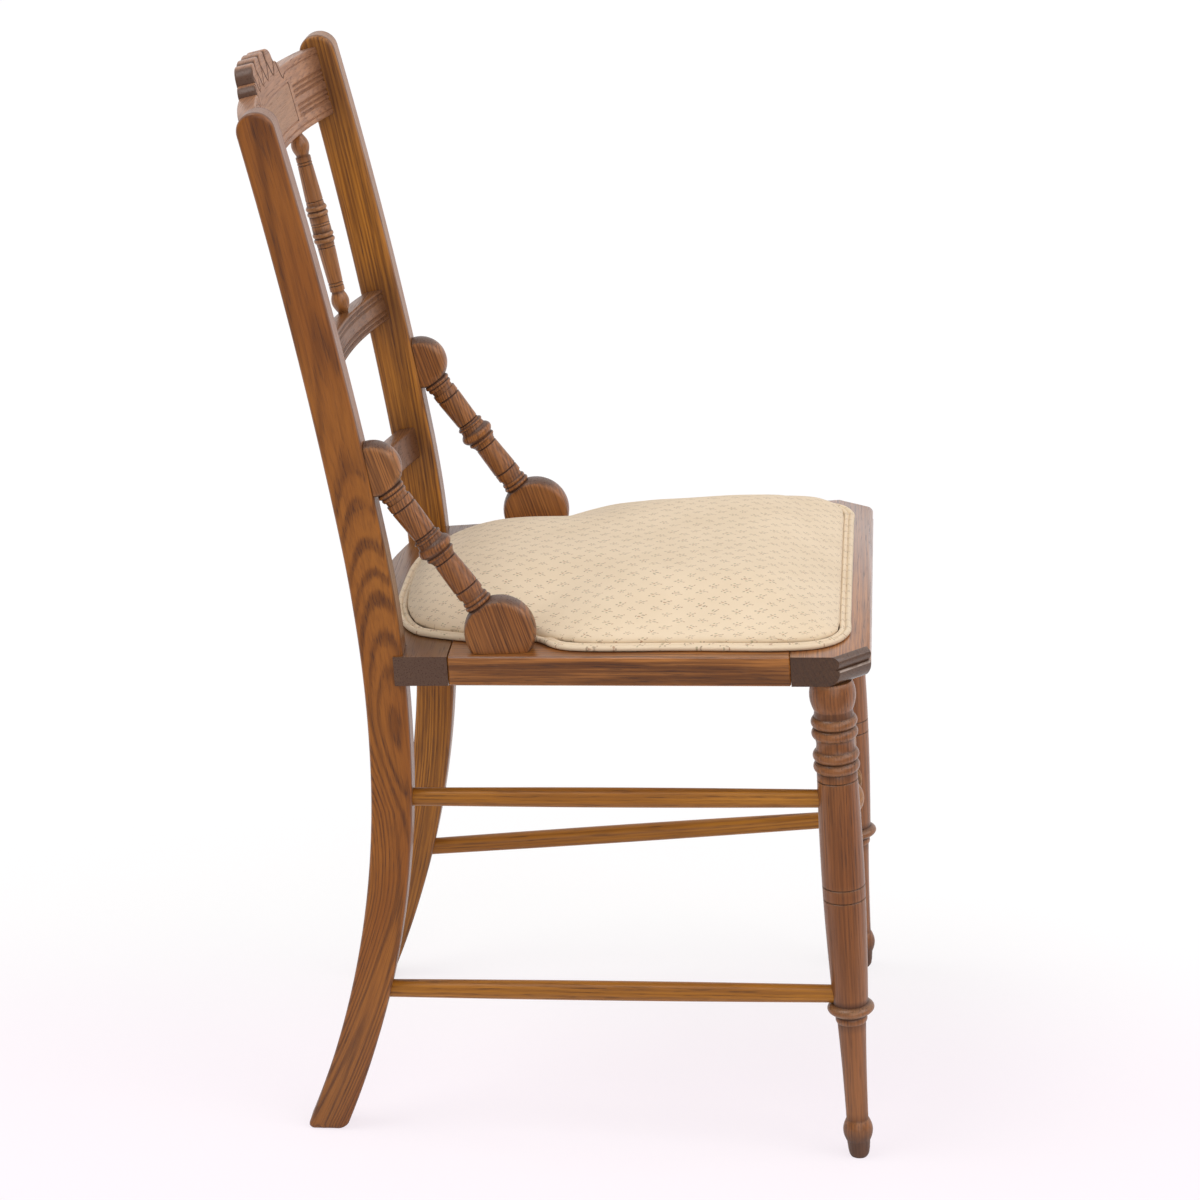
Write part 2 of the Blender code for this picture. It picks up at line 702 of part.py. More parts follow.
def make_rear_rail():
    """Rear seat rail: bears on the posts' front edges, with a bowed tongue that fills the space between."""
    bearing_z = SEAT_REAR_TOP - SEAT_RAIL_THICKNESS / 2
    inner = post_inner(bearing_z)
    into_post = POST_SEAT_WIDTH / 4
    tongue = []
    for x in steps(inner, -inner, 12):
        tongue.append((x, REAR_RAIL_TONGUE + REAR_RAIL_BOW * (1 - (x / inner) ** 2)))
    front_half = side_edge(-REAR_RAIL_WIDTH)
    outline = [(-front_half, -REAR_RAIL_WIDTH), (front_half, -REAR_RAIL_WIDTH), (SEAT_HALF_REAR, into_post),
               (inner, into_post)] + tongue + [(-inner, into_post), (-SEAT_HALF_REAR, into_post)]
    rail = slab("seat_rear_rail", outline, SEAT_RAIL_THICKNESS, -SEAT_RAIL_THICKNESS)
    for side in (-1, 1):
        combine(rail, post_solid("housing", side, TOUCH_GAP), "DIFFERENCE")
    return rail


def side_rail_ends():
    """Where a side rail meets the rear rail and the front rail, along the seat."""
    return -REAR_RAIL_WIDTH - TOUCH_GAP, -SEAT_DEPTH + FRONT_RAIL_WIDTH + TOUCH_GAP


def make_side_rail(name, side):
    """Side seat rail, butted between the front and rear rails."""
    rear, front = side_rail_ends()
    outline = [(side * side_edge(rear), rear), (side * side_edge(front), front),
               (side * (side_edge(front) - SIDE_RAIL_WIDTH), front),
               (side * (side_edge(rear) - SIDE_RAIL_WIDTH), rear)]
    rail = slab(name, outline, SEAT_RAIL_THICKNESS, -SEAT_RAIL_THICKNESS)
    round_edges(rail, RAIL_EDGE, 1)
    return rail


def front_rail_outline(inset):
    """Plan of the front rail with its front and cut corners set back by inset."""
    rear = -SEAT_DEPTH + FRONT_RAIL_WIDTH
    front = -SEAT_DEPTH + inset
    run = math.hypot(FRONT_CORNER_ALONG_FRONT, FRONT_CORNER_ALONG_SIDE)
    side_y = -SEAT_DEPTH + FRONT_CORNER_ALONG_SIDE + inset * run / FRONT_CORNER_ALONG_FRONT
    shift = inset * (run - FRONT_CORNER_ALONG_FRONT) / FRONT_CORNER_ALONG_SIDE
    front_x = SEAT_HALF_FRONT - FRONT_CORNER_ALONG_FRONT - shift
    half = [(side_edge(rear), rear), (side_edge(side_y), side_y), (front_x, front)]
    return half + [(-x, y) for x, y in reversed(half)]


def make_front_rail():
    """Front seat rail with cut corners, moulded as a bead over a fillet and a cove."""
    bead_steps = 4
    bead_depth = SEAT_RAIL_THICKNESS * 0.45
    levels = []
    for i in range(bead_steps + 1):
        turn = math.pi * i / bead_steps
        levels.append((-bead_depth * i / bead_steps, NOSING * 0.55 * (1 - math.sin(turn))))
    levels.append((-bead_depth * 1.02, 0.0))
    levels.append((-bead_depth * 1.15, 0.0))
    for i in range(1, bead_steps + 1):
        turn = math.pi / 2 * i / bead_steps
        drop = SEAT_RAIL_THICKNESS - bead_depth * 1.15
        levels.append((-bead_depth * 1.15 - drop * math.sin(turn), NOSING * (1 - math.cos(turn))))
    rings = [[Vector((x, y, z)) for x, y in front_rail_outline(inset)] for z, inset in levels]
    return place(loft("seat_front_rail", rings), SEAT)


def frame_dowel_lines():
    """World end points of the dowels of the four seat frame joints, with the rails each one joins."""
    lines = []
    rear, front = side_rail_ends()
    for side in (-1, 1):
        for y, rail in ((rear, "rear"), (front, "front")):
            outer = side_edge(y) - FRAME_DOWEL_INSET
            inner = side_edge(y) - SIDE_RAIL_WIDTH + FRAME_DOWEL_INSET
            for x, row in ((outer, "outer"), (inner, "inner")):
                ends = [SEAT @ Vector((side * x, y + sign * FRAME_DOWEL_LENGTH / 2, -SEAT_RAIL_THICKNESS / 2))
                        for sign in (-1, 1)]
                lines.append((ends[0], ends[1], side, rail, row))
    return lines


def make_dowel(name, start, end):
    """Straight dowel between two points."""
    profile = [(0.0, DOWEL_RADIUS), ((end - start).length, DOWEL_RADIUS)]
    return place(turned(name, profile, DOWEL_SEGMENTS), along(start, end))


def drill_for_dowel(piece, start, end):
    """Bore a piece for a dowel, a little past both of its ends."""
    past = (end - start).normalized() * SOCKET_FLOOR
    drill(piece, start - past, end + past, DOWEL_RADIUS, DOWEL_SEGMENTS)


# Front legs

def leg_top(side):
    """Point of a front leg's axis on the underside of the seat."""
    return SEAT @ Vector((side * LEG_X, -SEAT_DEPTH + LEG_SETBACK, -SEAT_RAIL_THICKNESS))


def leg_axis(side, z):
    """Point of a front leg's axis at height z."""
    top = leg_top(side)
    return Vector((top.x, top.y - LEG_FORWARD * (top.z - z) / top.z, z))


def make_leg(name, side):
    """Turned front leg with a round tenon for the seat, cut level at the floor."""
    top = leg_top(side)
    foot = leg_axis(side, 0.0)
    down = (foot - top).normalized()
    length = (foot - top).length
    slope = length / top.z
    shoulder = 2 * TOUCH_GAP
    cut = Turning(-LEG_TENON_LENGTH, LEG_TENON_RADIUS).run(LEG_TENON_LENGTH + shoulder)
    cut.step(LEG_BALL_SEAT_RADIUS)
    ball_rise = LEG_BALL_RADIUS - (LEG_BALL_SEAT_RADIUS + LEG_NECK_RADIUS) / 2
    cut.bulge(LEG_BALL_LENGTH, LEG_NECK_RADIUS, ball_rise, 5).run(LEG_NECK_LENGTH, LEG_RING_BASE)
    for pair in range(2):
        cut.bead(LEG_RING_LENGTH, LEG_RING_RADIUS).bead(LEG_RING_LENGTH, LEG_RING_RADIUS)
        cut.run(LEG_RING_LENGTH if pair == 0 else 0.0, LEG_RING_BASE if pair == 0 else LEG_SHAFT_TOP_RADIUS)
    collar_top = length - (LEG_COLLAR_Z + LEG_COLLAR_LENGTH) * slope
    cut.bulge(collar_top - cut.points[-1][0], LEG_SHAFT_LOW_RADIUS, LEG_SHAFT_SWELL, 5)
    collar_rise = LEG_COLLAR_RADIUS - (LEG_SHAFT_LOW_RADIUS + LEG_FILLET_RADIUS) / 2
    cut.bulge(LEG_COLLAR_LENGTH, LEG_FILLET_RADIUS, collar_rise, 4)
    cut.run(LEG_FILLET_LENGTH).step(LEG_ANKLE_TOP_RADIUS)
    foot_top = length - (LEG_TIP_LENGTH + LEG_FOOT_BALL_LENGTH) * slope
    cut.run(foot_top - cut.points[-1][0], LEG_ANKLE_LOW_RADIUS)
    foot_rise = LEG_FOOT_BALL_RADIUS - LEG_ANKLE_LOW_RADIUS
    cut.bulge(LEG_FOOT_BALL_LENGTH, LEG_ANKLE_LOW_RADIUS, foot_rise, 4)
    cut.run(LEG_TIP_LENGTH * slope + LEG_TIP_RADIUS, LEG_TIP_RADIUS)
    leg = place(turned(name, cut.points, LEG_SEGMENTS), along(top, top + down))
    slice_off(leg, Vector((0.0, 0.0, 0.0)), Vector((0.0, 0.0, -1.0)))
    return leg


# Stretchers

def side_stretcher_line(side, leg_z, post_z):
    """Where a side stretcher leaves the post's front edge, and the leg axis that it points at."""
    return Vector((side * post_middle(post_z), post_front(post_z), post_z)), leg_axis(side, leg_z)


def make_side_stretcher(name, start, end):
    """Plain stretcher, swelled a little in the middle, from inside the post to inside the leg."""
    ahead = (end - start).normalized()
    tip = end - ahead * STRETCHER_TIP_FROM_LEG_AXIS
    cut = Turning(-STRETCHER_TENON, STRETCHER_END_RADIUS).run(STRETCHER_TENON)
    cut.bulge((tip - start).length - STRETCHER_TENON, STRETCHER_END_RADIUS, STRETCHER_SWELL, 6)
    cut.run(STRETCHER_TENON)
    return place(turned(name, cut.points, TURNED_SEGMENTS), along(start, end))


def bore_for_side_stretcher(post, leg, start, end):
    """Bore a post and a leg for one side stretcher."""
    ahead = (end - start).normalized()
    tip = end - ahead * (STRETCHER_TIP_FROM_LEG_AXIS - SOCKET_FLOOR)
    drill(post, start + ahead * STRETCHER_TENON, start - ahead * (STRETCHER_TENON + SOCKET_FLOOR),
          STRETCHER_END_RADIUS)
    drill(leg, tip - ahead * (LEG_RING_RADIUS + STRETCHER_TENON), tip, STRETCHER_END_RADIUS)


def make_front_stretcher():
    """Turned front stretcher with a bulb in the middle and a pair of rings on each side of it."""
    ends = [leg_axis(side, FRONT_STRETCHER_Z) for side in (-1, 1)]
    ahead = (ends[1] - ends[0]).normalized()
    start = ends[0] + ahead * STRETCHER_TIP_FROM_LEG_AXIS
    half = (ends[1] - ends[0]).length / 2 - STRETCHER_TIP_FROM_LEG_AXIS
    cut = Turning(0.0, FRONT_STRETCHER_END_RADIUS).run(LEG_RING_RADIUS)
    used = LEG_RING_RADIUS + 2 * FRONT_STRETCHER_RING_LENGTH + FRONT_STRETCHER_COVE_LENGTH
    shaft = half - used - FRONT_STRETCHER_BULB_LENGTH / 2
    cut.run(shaft, FRONT_STRETCHER_SHAFT_RADIUS)
    for _ in range(2):
        cut.bead(FRONT_STRETCHER_RING_LENGTH, FRONT_STRETCHER_RING_RADIUS)
    cut.bulge(FRONT_STRETCHER_COVE_LENGTH, FRONT_STRETCHER_COVE_RADIUS,
              FRONT_STRETCHER_SHAFT_RADIUS - FRONT_STRETCHER_COVE_RADIUS - RAIL_EDGE, 3)
    base = cut.points[-1][0]
    for i in range(1, 5):
        share = i / 4
        rise = (FRONT_STRETCHER_BULB_RADIUS - FRONT_STRETCHER_COVE_RADIUS) * math.sin(math.pi / 2 * share)
        height = base + FRONT_STRETCHER_BULB_LENGTH / 2 * share
        cut.points.append((height, FRONT_STRETCHER_COVE_RADIUS + rise))
    piece = place(turned("front_stretcher", cut.mirrored(), TURNED_SEGMENTS), along(start, ends[1]))
    return piece, ends, ahead


def bore_for_front_stretcher(leg, axis_point, inwards):
    """Bore a leg from its inner side for the front stretcher."""
    drill(leg, axis_point + inwards * (STRETCHER_TIP_FROM_LEG_AXIS - SOCKET_FLOOR),
          axis_point + inwards * 2 * LEG_RING_RADIUS, FRONT_STRETCHER_END_RADIUS)


# Hip braces

def brace_contact(side):
    """Point on the post's front edge where the upper knob bears, and the way into the post."""
    y, lean = post_line(BRACE_UPPER_Z)
    point = Vector((side * post_middle(BRACE_UPPER_Z), post_front(BRACE_UPPER_Z), BRACE_UPPER_Z))
    return point, Vector((0.0, math.cos(lean), -math.sin(lean)))


def brace_lower_x():
    """Distance of the lower knob's middle from the chair's middle plane."""
    return side_edge(-BRACE_LOWER_FROM_REAR) - BRACE_FROM_SIDE


def brace_seat_point(side, up):
    """Point above the place on the side rail where the lower knob bears."""
    return SEAT @ Vector((side * brace_lower_x(), -BRACE_LOWER_FROM_REAR, up))


def ball_arc(centre, radius, first, last, count):
    """Profile points of a ball end between two angles from its axis."""
    arc = []
    for turn in steps(first, last, count):
        arc.append((centre - radius * math.cos(turn), max(radius * math.sin(turn), radius * 0.02)))
    return arc


def make_brace(name, side):
    """Turned hip brace: ball ends flattened on both sides and cut to bear on the post and the seat."""
    contact, into_post = brace_contact(side)
    upper = contact - into_post * BRACE_UPPER_STANDOFF
    lower = brace_seat_point(side, BRACE_LOWER_STANDOFF)
    length = (lower - upper).length
    upper_neck = math.pi - math.asin(BRACE_NECK_RADIUS / BRACE_UPPER_RADIUS)
    lower_neck = math.asin(BRACE_NECK_RADIUS / BRACE_LOWER_RADIUS)
    cut = Turning(0.0, 0.0)
    cut.points = ball_arc(0.0, BRACE_UPPER_RADIUS, 0.0, upper_neck, 7)
    cut.bead(BRACE_COLLAR_LENGTH, BRACE_COLLAR_RADIUS)
    cut.step(BRACE_GROOVE_RADIUS).run(BRACE_GROOVE_LENGTH).step(BRACE_SHAFT_END_RADIUS)
    lower_end = length - BRACE_LOWER_RADIUS * math.cos(lower_neck)
    lower_shaft_end = lower_end - BRACE_COLLAR_LENGTH - BRACE_GROOVE_LENGTH
    middle = 2 * BRACE_MIDDLE_SHOULDER_LENGTH + BRACE_MIDDLE_BEAD_LENGTH
    shaft = (lower_shaft_end - cut.points[-1][0] - middle) / 2
    cut.run(shaft, BRACE_SHAFT_RADIUS)
    cut.run(BRACE_MIDDLE_SHOULDER_LENGTH, BRACE_MIDDLE_SHOULDER_RADIUS)
    cut.bead(BRACE_MIDDLE_BEAD_LENGTH, BRACE_MIDDLE_BEAD_RADIUS)
    cut.run(BRACE_MIDDLE_SHOULDER_LENGTH, BRACE_SHAFT_RADIUS)
    cut.run(shaft, BRACE_SHAFT_END_RADIUS).step(BRACE_GROOVE_RADIUS)
    cut.run(BRACE_GROOVE_LENGTH).step(BRACE_NECK_RADIUS)
    cut.bead(BRACE_COLLAR_LENGTH, BRACE_COLLAR_RADIUS)
    knob = ball_arc(length, BRACE_LOWER_RADIUS, lower_neck, math.pi, 7)
    brace = place(turned(name, cut.points + knob, BRACE_SEGMENTS), along(upper, lower))
    flat = brace.matrix_world.to_3x3() @ Vector((1.0, 0.0, 0.0))
    for sign in (-1, 1):
        slice_off(brace, upper + flat * sign * BRACE_KNOB_THICKNESS / 2, flat * sign)
    slice_off(brace, contact - into_post * TOUCH_GAP, into_post)
    seat_up = SEAT.to_3x3() @ Vector((0.0, 0.0, 1.0))
    slice_off(brace, brace_seat_point(side, TOUCH_GAP), -seat_up)
    return brace


def brace_dowel_lines(side):
    """Upper and lower dowel of one brace, as end points."""
    contact, into_post = brace_contact(side)
    upper = (contact - into_post * BRACE_DOWEL_IN_KNOB, contact + into_post * BRACE_DOWEL_IN_SEAT)
    lower = (brace_seat_point(side, BRACE_DOWEL_IN_KNOB), brace_seat_point(side, -BRACE_DOWEL_IN_SEAT))
    return upper, lower


# Padded seat

def smooth_loop(points, per_span):
    """Closed smooth curve through plan points, with a few points to each span."""
    loop = []
    count = len(points)
    for i in range(count):
        before, start, end, after = (Vector(points[(i + k - 1) % count]) for k in range(4))
        for k in range(per_span):
            t = k / per_span
            pull = (end - before) * t + (before * 2 - start * 5 + end * 4 - after) * t * t
            pull += (start * 3 - before - end * 3 + after) * t ** 3
            loop.append(start + pull / 2)
    return loop


def even_loop(loop, count):
    """A closed loop walked again in even strides."""
    closed = loop + loop[:1]
    lengths = [(b - a).length for a, b in zip(closed, closed[1:])]
    stride = sum(lengths) / count
    walked = []
    travelled = 0.0
    for i, length in enumerate(lengths):
        while len(walked) * stride <= travelled + length and len(walked) < count:
            share = (len(walked) * stride - travelled) / length
            walked.append(closed[i].lerp(closed[i + 1], share))
        travelled += length
    return walked


def shrunk_loop(loop, share):
    """A plan loop drawn in towards its middle."""
    middle = sum(loop, Vector((0.0, 0.0))) / len(loop)
    return [middle + (point - middle) * share for point in loop]


def offset_loop(loop, inset):
    """A plan loop moved inwards by an even distance."""
    moved = []
    count = len(loop)
    for i in range(count):
        run = (loop[(i + 1) % count] - loop[i - 1]).normalized()
        moved.append(loop[i] + Vector((run.y, -run.x)) * inset)
    return moved


def seat_pad_loop():
    """Outer edge of the welt in the seat's plan, from the rear middle round by the left side."""
    rear = REAR_RAIL_TONGUE + REAR_RAIL_BOW - CUSHION_REAR_MARGIN
    front = -SEAT_DEPTH + CUSHION_FRONT_MARGIN
    post = post_inner(SEAT_REAR_TOP) - CUSHION_POST_MARGIN
    knob_y = -BRACE_LOWER_FROM_REAR
    knob_x = brace_lower_x() - BRACE_KNOB_THICKNESS / 2 - CUSHION_BRACE_MARGIN
    knob_chord = math.sqrt(BRACE_LOWER_RADIUS ** 2 - BRACE_LOWER_STANDOFF ** 2)
    before_knob = knob_y - 2.3 * knob_chord
    corner = CUSHION_CORNER

    def by_rail(y):
        return side_edge(y) - CUSHION_SIDE_MARGIN

    half = [(post / 2, rear * 0.85), (post - corner / 2, corner * 0.06), (post, -corner * 0.6),
            (knob_x, knob_y + knob_chord * 0.4), (knob_x, knob_y - knob_chord),
            (by_rail(before_knob), before_knob),
            (by_rail(front + 3.4 * corner), front + 3.4 * corner),
            (by_rail(front + corner * 1.3), front + corner * 1.3),
            (by_rail(front) - corner * 0.34, front + corner * 0.42),
            (by_rail(front) - corner, front + corner * 0.02),
            (by_rail(front) - 2 * corner, front)]
    loop = [(0.0, rear)] + half + [(0.0, front)] + [(-x, y) for x, y in reversed(half)]
    return even_loop(smooth_loop(loop, 8), CUSHION_POINTS)


def seat_level_ring(loop, up):
    """A plan loop as points at one height of the seat's own frame."""
    return [Vector((point.x, point.y, up)) for point in loop]


def make_cushion(loop):
    """Crowned cushion with drawn-in sides, hollowed underneath for its board."""
    edge = offset_loop(loop, 2 * WELT_CORD + TOUCH_GAP)
    board = shrunk_loop(edge, BOARD_SHARE + BOARD_CLEARANCE)
    ceiling = BOARD_THICKNESS + 2 * TOUCH_GAP
    rings = [seat_level_ring(board, ceiling), seat_level_ring(board, TOUCH_GAP)]
    rings.append(seat_level_ring(offset_loop(edge, CUSHION_TUCK), TOUCH_GAP))
    rings.append(seat_level_ring(edge, CUSHION_WALL * 0.6))
    for share in (0.99, 0.95, 0.88, 0.75, 0.55, 0.28):
        up = CUSHION_WALL + (CUSHION_CROWN - CUSHION_WALL) * math.sqrt(1 - share ** 3)
        rings.append(seat_level_ring(shrunk_loop(edge, share), up))
    return place(loft("seat_cushion", rings), SEAT)


def make_welt(loop):
    """Double welt: two cords side by side in one strip, sewn round the cushion's foot."""
    cord = WELT_CORD / 2
    section = []
    for centre, first in ((cord, -0.75), (-cord, 0.25)):
        for k in range(5):
            turn = math.pi * (first + 1.5 * k / 4)
            section.append((centre + cord * math.cos(turn), cord + cord * math.sin(turn) + TOUCH_GAP))
    middle = offset_loop(loop, WELT_CORD)
    rings = []
    for i, point in enumerate(middle):
        out = (loop[i] - point).normalized()
        rings.append([Vector((point.x + out.x * side, point.y + out.y * side, up)) for side, up in section])
    return place(loft("seat_welt", rings, closed=True), SEAT)


def make_board(loop):
    """Plywood board that the padding is built on."""
    edge = offset_loop(loop, 2 * WELT_CORD + TOUCH_GAP)
    outline = [(point.x, point.y) for point in shrunk_loop(edge, BOARD_SHARE)]
    return slab("seat_board", outline, BOARD_THICKNESS, TOUCH_GAP)


def screw_places():
    """Plan places of the four screws that hold the board, with the rail that each one passes through."""
    rear = -REAR_RAIL_WIDTH + SCREW_FROM_RAIL_EDGE
    front = -SEAT_DEPTH + FRONT_RAIL_WIDTH - SCREW_FROM_RAIL_EDGE
    return [(side * SCREW_HALF_SPACING, y, rail, word) for y, rail in ((rear, "rear"), (front, "front"))
            for side, word in SIDES]


def screw_profile(grow):
    """Countersunk screw from below, head first, with every face moved out by grow."""
    head = -SEAT_RAIL_THICKNESS + SCREW_HEAD_RECESS
    tip = TOUCH_GAP + SCREW_BITE
    head_foot = -SEAT_RAIL_THICKNESS - SCREW_HEAD_RECESS if grow else head
    return [(head_foot, SCREW_HEAD_RADIUS + grow), (head, SCREW_HEAD_RADIUS + grow),
            (head + SCREW_HEAD_HEIGHT, SCREW_RADIUS + grow), (tip + grow, SCREW_RADIUS + grow)]


def make_screw(name, x, y):
    """Countersunk screw, driven up through a rail into the board."""
    return place(turned(name, screw_profile(0.0), DOWEL_SEGMENTS), SEAT @ Matrix.Translation((x, y, 0.0)))


def bore_for_screw(piece, x, y):
    """Cut one screw's hole through a piece."""
    tool = turned("screw_hole", screw_profile(SOCKET_CLEARANCE), DOWEL_SEGMENTS)
    place(tool, SEAT @ Matrix.Translation((x, y, 0.0)))
    combine(piece, tool, "DIFFERENCE")


# Assembly

def build_back(pieces):
    """Posts, back rails and spindles."""
    crest = BackRail("crest_rail", CREST_Z, CREST_HEIGHT, CREST_THICKNESS, CREST_FACE)
    mid = BackRail("mid_rail", MID_RAIL_Z, MID_RAIL_HEIGHT, MID_RAIL_THICKNESS, MID_RAIL_FACE)
    lower = BackRail("lower_back_rail", LOWER_RAIL_Z, LOWER_RAIL_HEIGHT, LOWER_RAIL_THICKNESS,
                     LOWER_RAIL_FACE)
    pieces["crest_rail"] = make_crest(crest)
    pieces["mid_rail"] = make_mid_rail(mid)
    pieces["lower_back_rail"] = make_lower_rail(lower)
    for side, word in SIDES:
        post = post_solid(f"back_post_{word}", side)
        round_edges(post, POST_ARRIS)
        for rail in (crest, mid, lower):
            rail.mortise(post, side)
        pieces[post.name] = post
    for i in range(SPINDLE_COUNT):
        spindle, low, high = make_spindle(i, crest, mid)
        up = (high - low).normalized()
        bore_for_spindle(pieces["mid_rail"], low, -up)
        bore_for_spindle(pieces["crest_rail"], high, up)
        pieces[spindle.name] = spindle


def build_seat_frame(pieces):
    """Four seat rails, their dowels, and the dowels that tie them to the posts."""
    pieces["seat_rear_rail"] = make_rear_rail()
    pieces["seat_front_rail"] = make_front_rail()
    for side, word in SIDES:
        name = f"seat_side_rail_{word}"
        pieces[name] = make_side_rail(name, side)
    words = dict(SIDES)
    for start, end, side, rail, row in frame_dowel_lines():
        drill_for_dowel(pieces[f"seat_side_rail_{words[side]}"], start, end)
        drill_for_dowel(pieces[f"seat_{rail}_rail"], start, end)
        name = f"seat_dowel_{rail}_{row}_{words[side]}"
        pieces[name] = make_dowel(name, start, end)
    bearing = Vector((0.0, 0.0, -SEAT_RAIL_THICKNESS / 2))
    for side, word in SIDES:
        bearing.x = side * post_middle(SEAT_REAR_TOP - SEAT_RAIL_THICKNESS / 2)
        start = SEAT @ (bearing - Vector((0.0, POST_DOWEL_IN_RAIL, 0.0)))
        end = SEAT @ (bearing + Vector((0.0, POST_DOWEL_IN_POST, 0.0)))
        drill_for_dowel(pieces["seat_rear_rail"], start, end)
        drill_for_dowel(pieces[f"back_post_{word}"], start, end)
        name = f"post_dowel_{word}"
        pieces[name] = make_dowel(name, start, end)


def build_legs(pieces):
    """Front legs and all stretchers."""
    for side, word in SIDES:
        leg = make_leg(f"front_leg_{word}", side)
        pieces[leg.name] = leg
        up = (leg_top(side) - leg_axis(side, 0.0)).normalized()
        drill(pieces["seat_front_rail"], leg_top(side) - up * LEG_TENON_LENGTH,
              leg_top(side) + up * (LEG_TENON_LENGTH + SOCKET_FLOOR), LEG_TENON_RADIUS, LEG_SEGMENTS)
        for level, leg_z, post_z in (("upper", UPPER_STRETCHER_LEG_Z, UPPER_STRETCHER_POST_Z),
                                     ("lower", LOWER_STRETCHER_LEG_Z, LOWER_STRETCHER_POST_Z)):
            start, end = side_stretcher_line(side, leg_z, post_z)
            name = f"side_stretcher_{level}_{word}"
            pieces[name] = make_side_stretcher(name, start, end)
            bore_for_side_stretcher(pieces[f"back_post_{word}"], leg, start, end)
    stretcher, ends, ahead = make_front_stretcher()
    pieces["front_stretcher"] = stretcher
    bore_for_front_stretcher(pieces["front_leg_right"], ends[0], ahead)
    bore_for_front_stretcher(pieces["front_leg_left"], ends[1], -ahead)


def build_braces(pieces):
    """Hip braces and their dowels."""
    for side, word in SIDES:
        brace = make_brace(f"hip_brace_{word}", side)
        pieces[brace.name] = brace
        upper, lower = brace_dowel_lines(side)
        for line, end, carrier in ((upper, "upper", "back_post"), (lower, "lower", "seat_side_rail")):
            drill_for_dowel(brace, *line)
            drill_for_dowel(pieces[f"{carrier}_{word}"], *line)
            name = f"brace_dowel_{end}_{word}"
            pieces[name] = make_dowel(name, *line)


def build_padding(pieces):
    """Board, cushion, welt and the screws that hold the board."""
    loop = seat_pad_loop()
    pieces["seat_board"] = make_board(loop)
    pieces["seat_cushion"] = make_cushion(loop)
    pieces["seat_welt"] = make_welt(loop)
    for x, y, rail, word in screw_places():
        bore_for_screw(pieces["seat_board"], x, y)
        bore_for_screw(pieces[f"seat_{rail}_rail"], x, y)
        name = f"board_screw_{rail}_{word}"
        pieces[name] = make_screw(name, x, y)


def paint(pieces):
    """Give each piece its colour by what it is made of."""
    by_name = {"seat_cushion": SPRIG_CLOTH, "seat_welt": SPRIG_CLOTH, "seat_board": PLYWOOD}
    for name, piece in pieces.items():
        if "dowel" in name:
            colour(piece, BEECH_DOWEL)
        elif "screw" in name:
            colour(piece, SCREW_STEEL)
        elif "stretcher" in name:
            colour(piece, STRETCHER_OAK)
        else:
            colour(piece, by_name.get(name, OAK))


def centre_on_origin(pieces):
    """Hang every piece on one empty, and move it so that the chair's box stands over the origin."""
    bpy.context.view_layer.update()
    depths = []
    for piece in pieces.values():
        depths += [(piece.matrix_world @ vert.co).y for vert in piece.data.vertices]
    origin = bpy.data.objects.new("chair_origin", None)
    bpy.context.collection.objects.link(origin)
    for piece in pieces.values():
        piece.parent = origin
    origin.location.y = -(min(depths) + max(depths)) / 2
    bpy.context.view_layer.update()


def main():
    """Build the chair."""
    clear_scene()
    pieces = {}
    build_back(pieces)
    build_seat_frame(pieces)
    build_legs(pieces)
    build_braces(pieces)
    build_padding(pieces)
    paint(pieces)
    centre_on_origin(pieces)


main()
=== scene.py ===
"""Looks of a pressed back side chair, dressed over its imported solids.

Metres, +Z up. The sitter faces -Y, so the chair's right side is -X, which is nearest the camera.
Each sub-assembly is a class that holds its sizes. It draws finer meshes in the frame that the solids
were drawn in, and hand_over moves them over the row's origin and sets them in the frame.
"""

import logging
import math
import random
from dataclasses import dataclass, replace
from enum import Enum
from typing import Callable, Dict, List, Mapping, Optional, Sequence, Tuple, Union

import bmesh
import bpy
import numpy as np
from mathutils import Matrix, Vector


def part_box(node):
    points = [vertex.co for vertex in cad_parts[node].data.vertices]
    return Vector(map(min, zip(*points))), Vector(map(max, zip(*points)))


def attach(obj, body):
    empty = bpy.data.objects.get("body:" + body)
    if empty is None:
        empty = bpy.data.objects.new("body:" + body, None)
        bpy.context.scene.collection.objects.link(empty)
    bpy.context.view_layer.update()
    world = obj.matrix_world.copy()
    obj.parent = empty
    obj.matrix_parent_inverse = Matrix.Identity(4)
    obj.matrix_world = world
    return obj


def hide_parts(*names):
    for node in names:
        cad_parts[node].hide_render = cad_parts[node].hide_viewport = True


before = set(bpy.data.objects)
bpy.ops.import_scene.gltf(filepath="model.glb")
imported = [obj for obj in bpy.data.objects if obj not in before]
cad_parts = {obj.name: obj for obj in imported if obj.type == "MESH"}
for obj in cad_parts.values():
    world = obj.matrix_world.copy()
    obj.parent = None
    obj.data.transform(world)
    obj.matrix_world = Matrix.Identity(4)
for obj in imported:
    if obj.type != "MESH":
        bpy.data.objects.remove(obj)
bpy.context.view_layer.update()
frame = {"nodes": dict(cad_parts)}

LOG = logging.getLogger("side_chair")
Triple = Tuple[float, float, float]
Colour = Triple
Profile = List[Tuple[float, float]]
Array = np.ndarray
Number = Union[float, Array]
Piece = bpy.types.Object
Mesh = bpy.types.Mesh
Shape = bmesh.types.BMesh
Material = bpy.types.Material
Node = bpy.types.Node
Socket = bpy.types.NodeSocket
Value = Union[float, int, Sequence[float], Socket, Material]
Inputs = Mapping[Union[str, int], Value]

ORIGIN_Y = -0.018193409        # from the frame the solids were drawn in to the row's frame
TOUCH_GAP = 0.0003             # between two faces that bear on each other
SMOOTH_ANGLE = math.radians(38.0)
QUARTER_TURN = math.pi / 2
UP = Vector((0.0, 0.0, 1.0))
WHITE: Colour = (1.0, 1.0, 1.0)
SEED = 1475


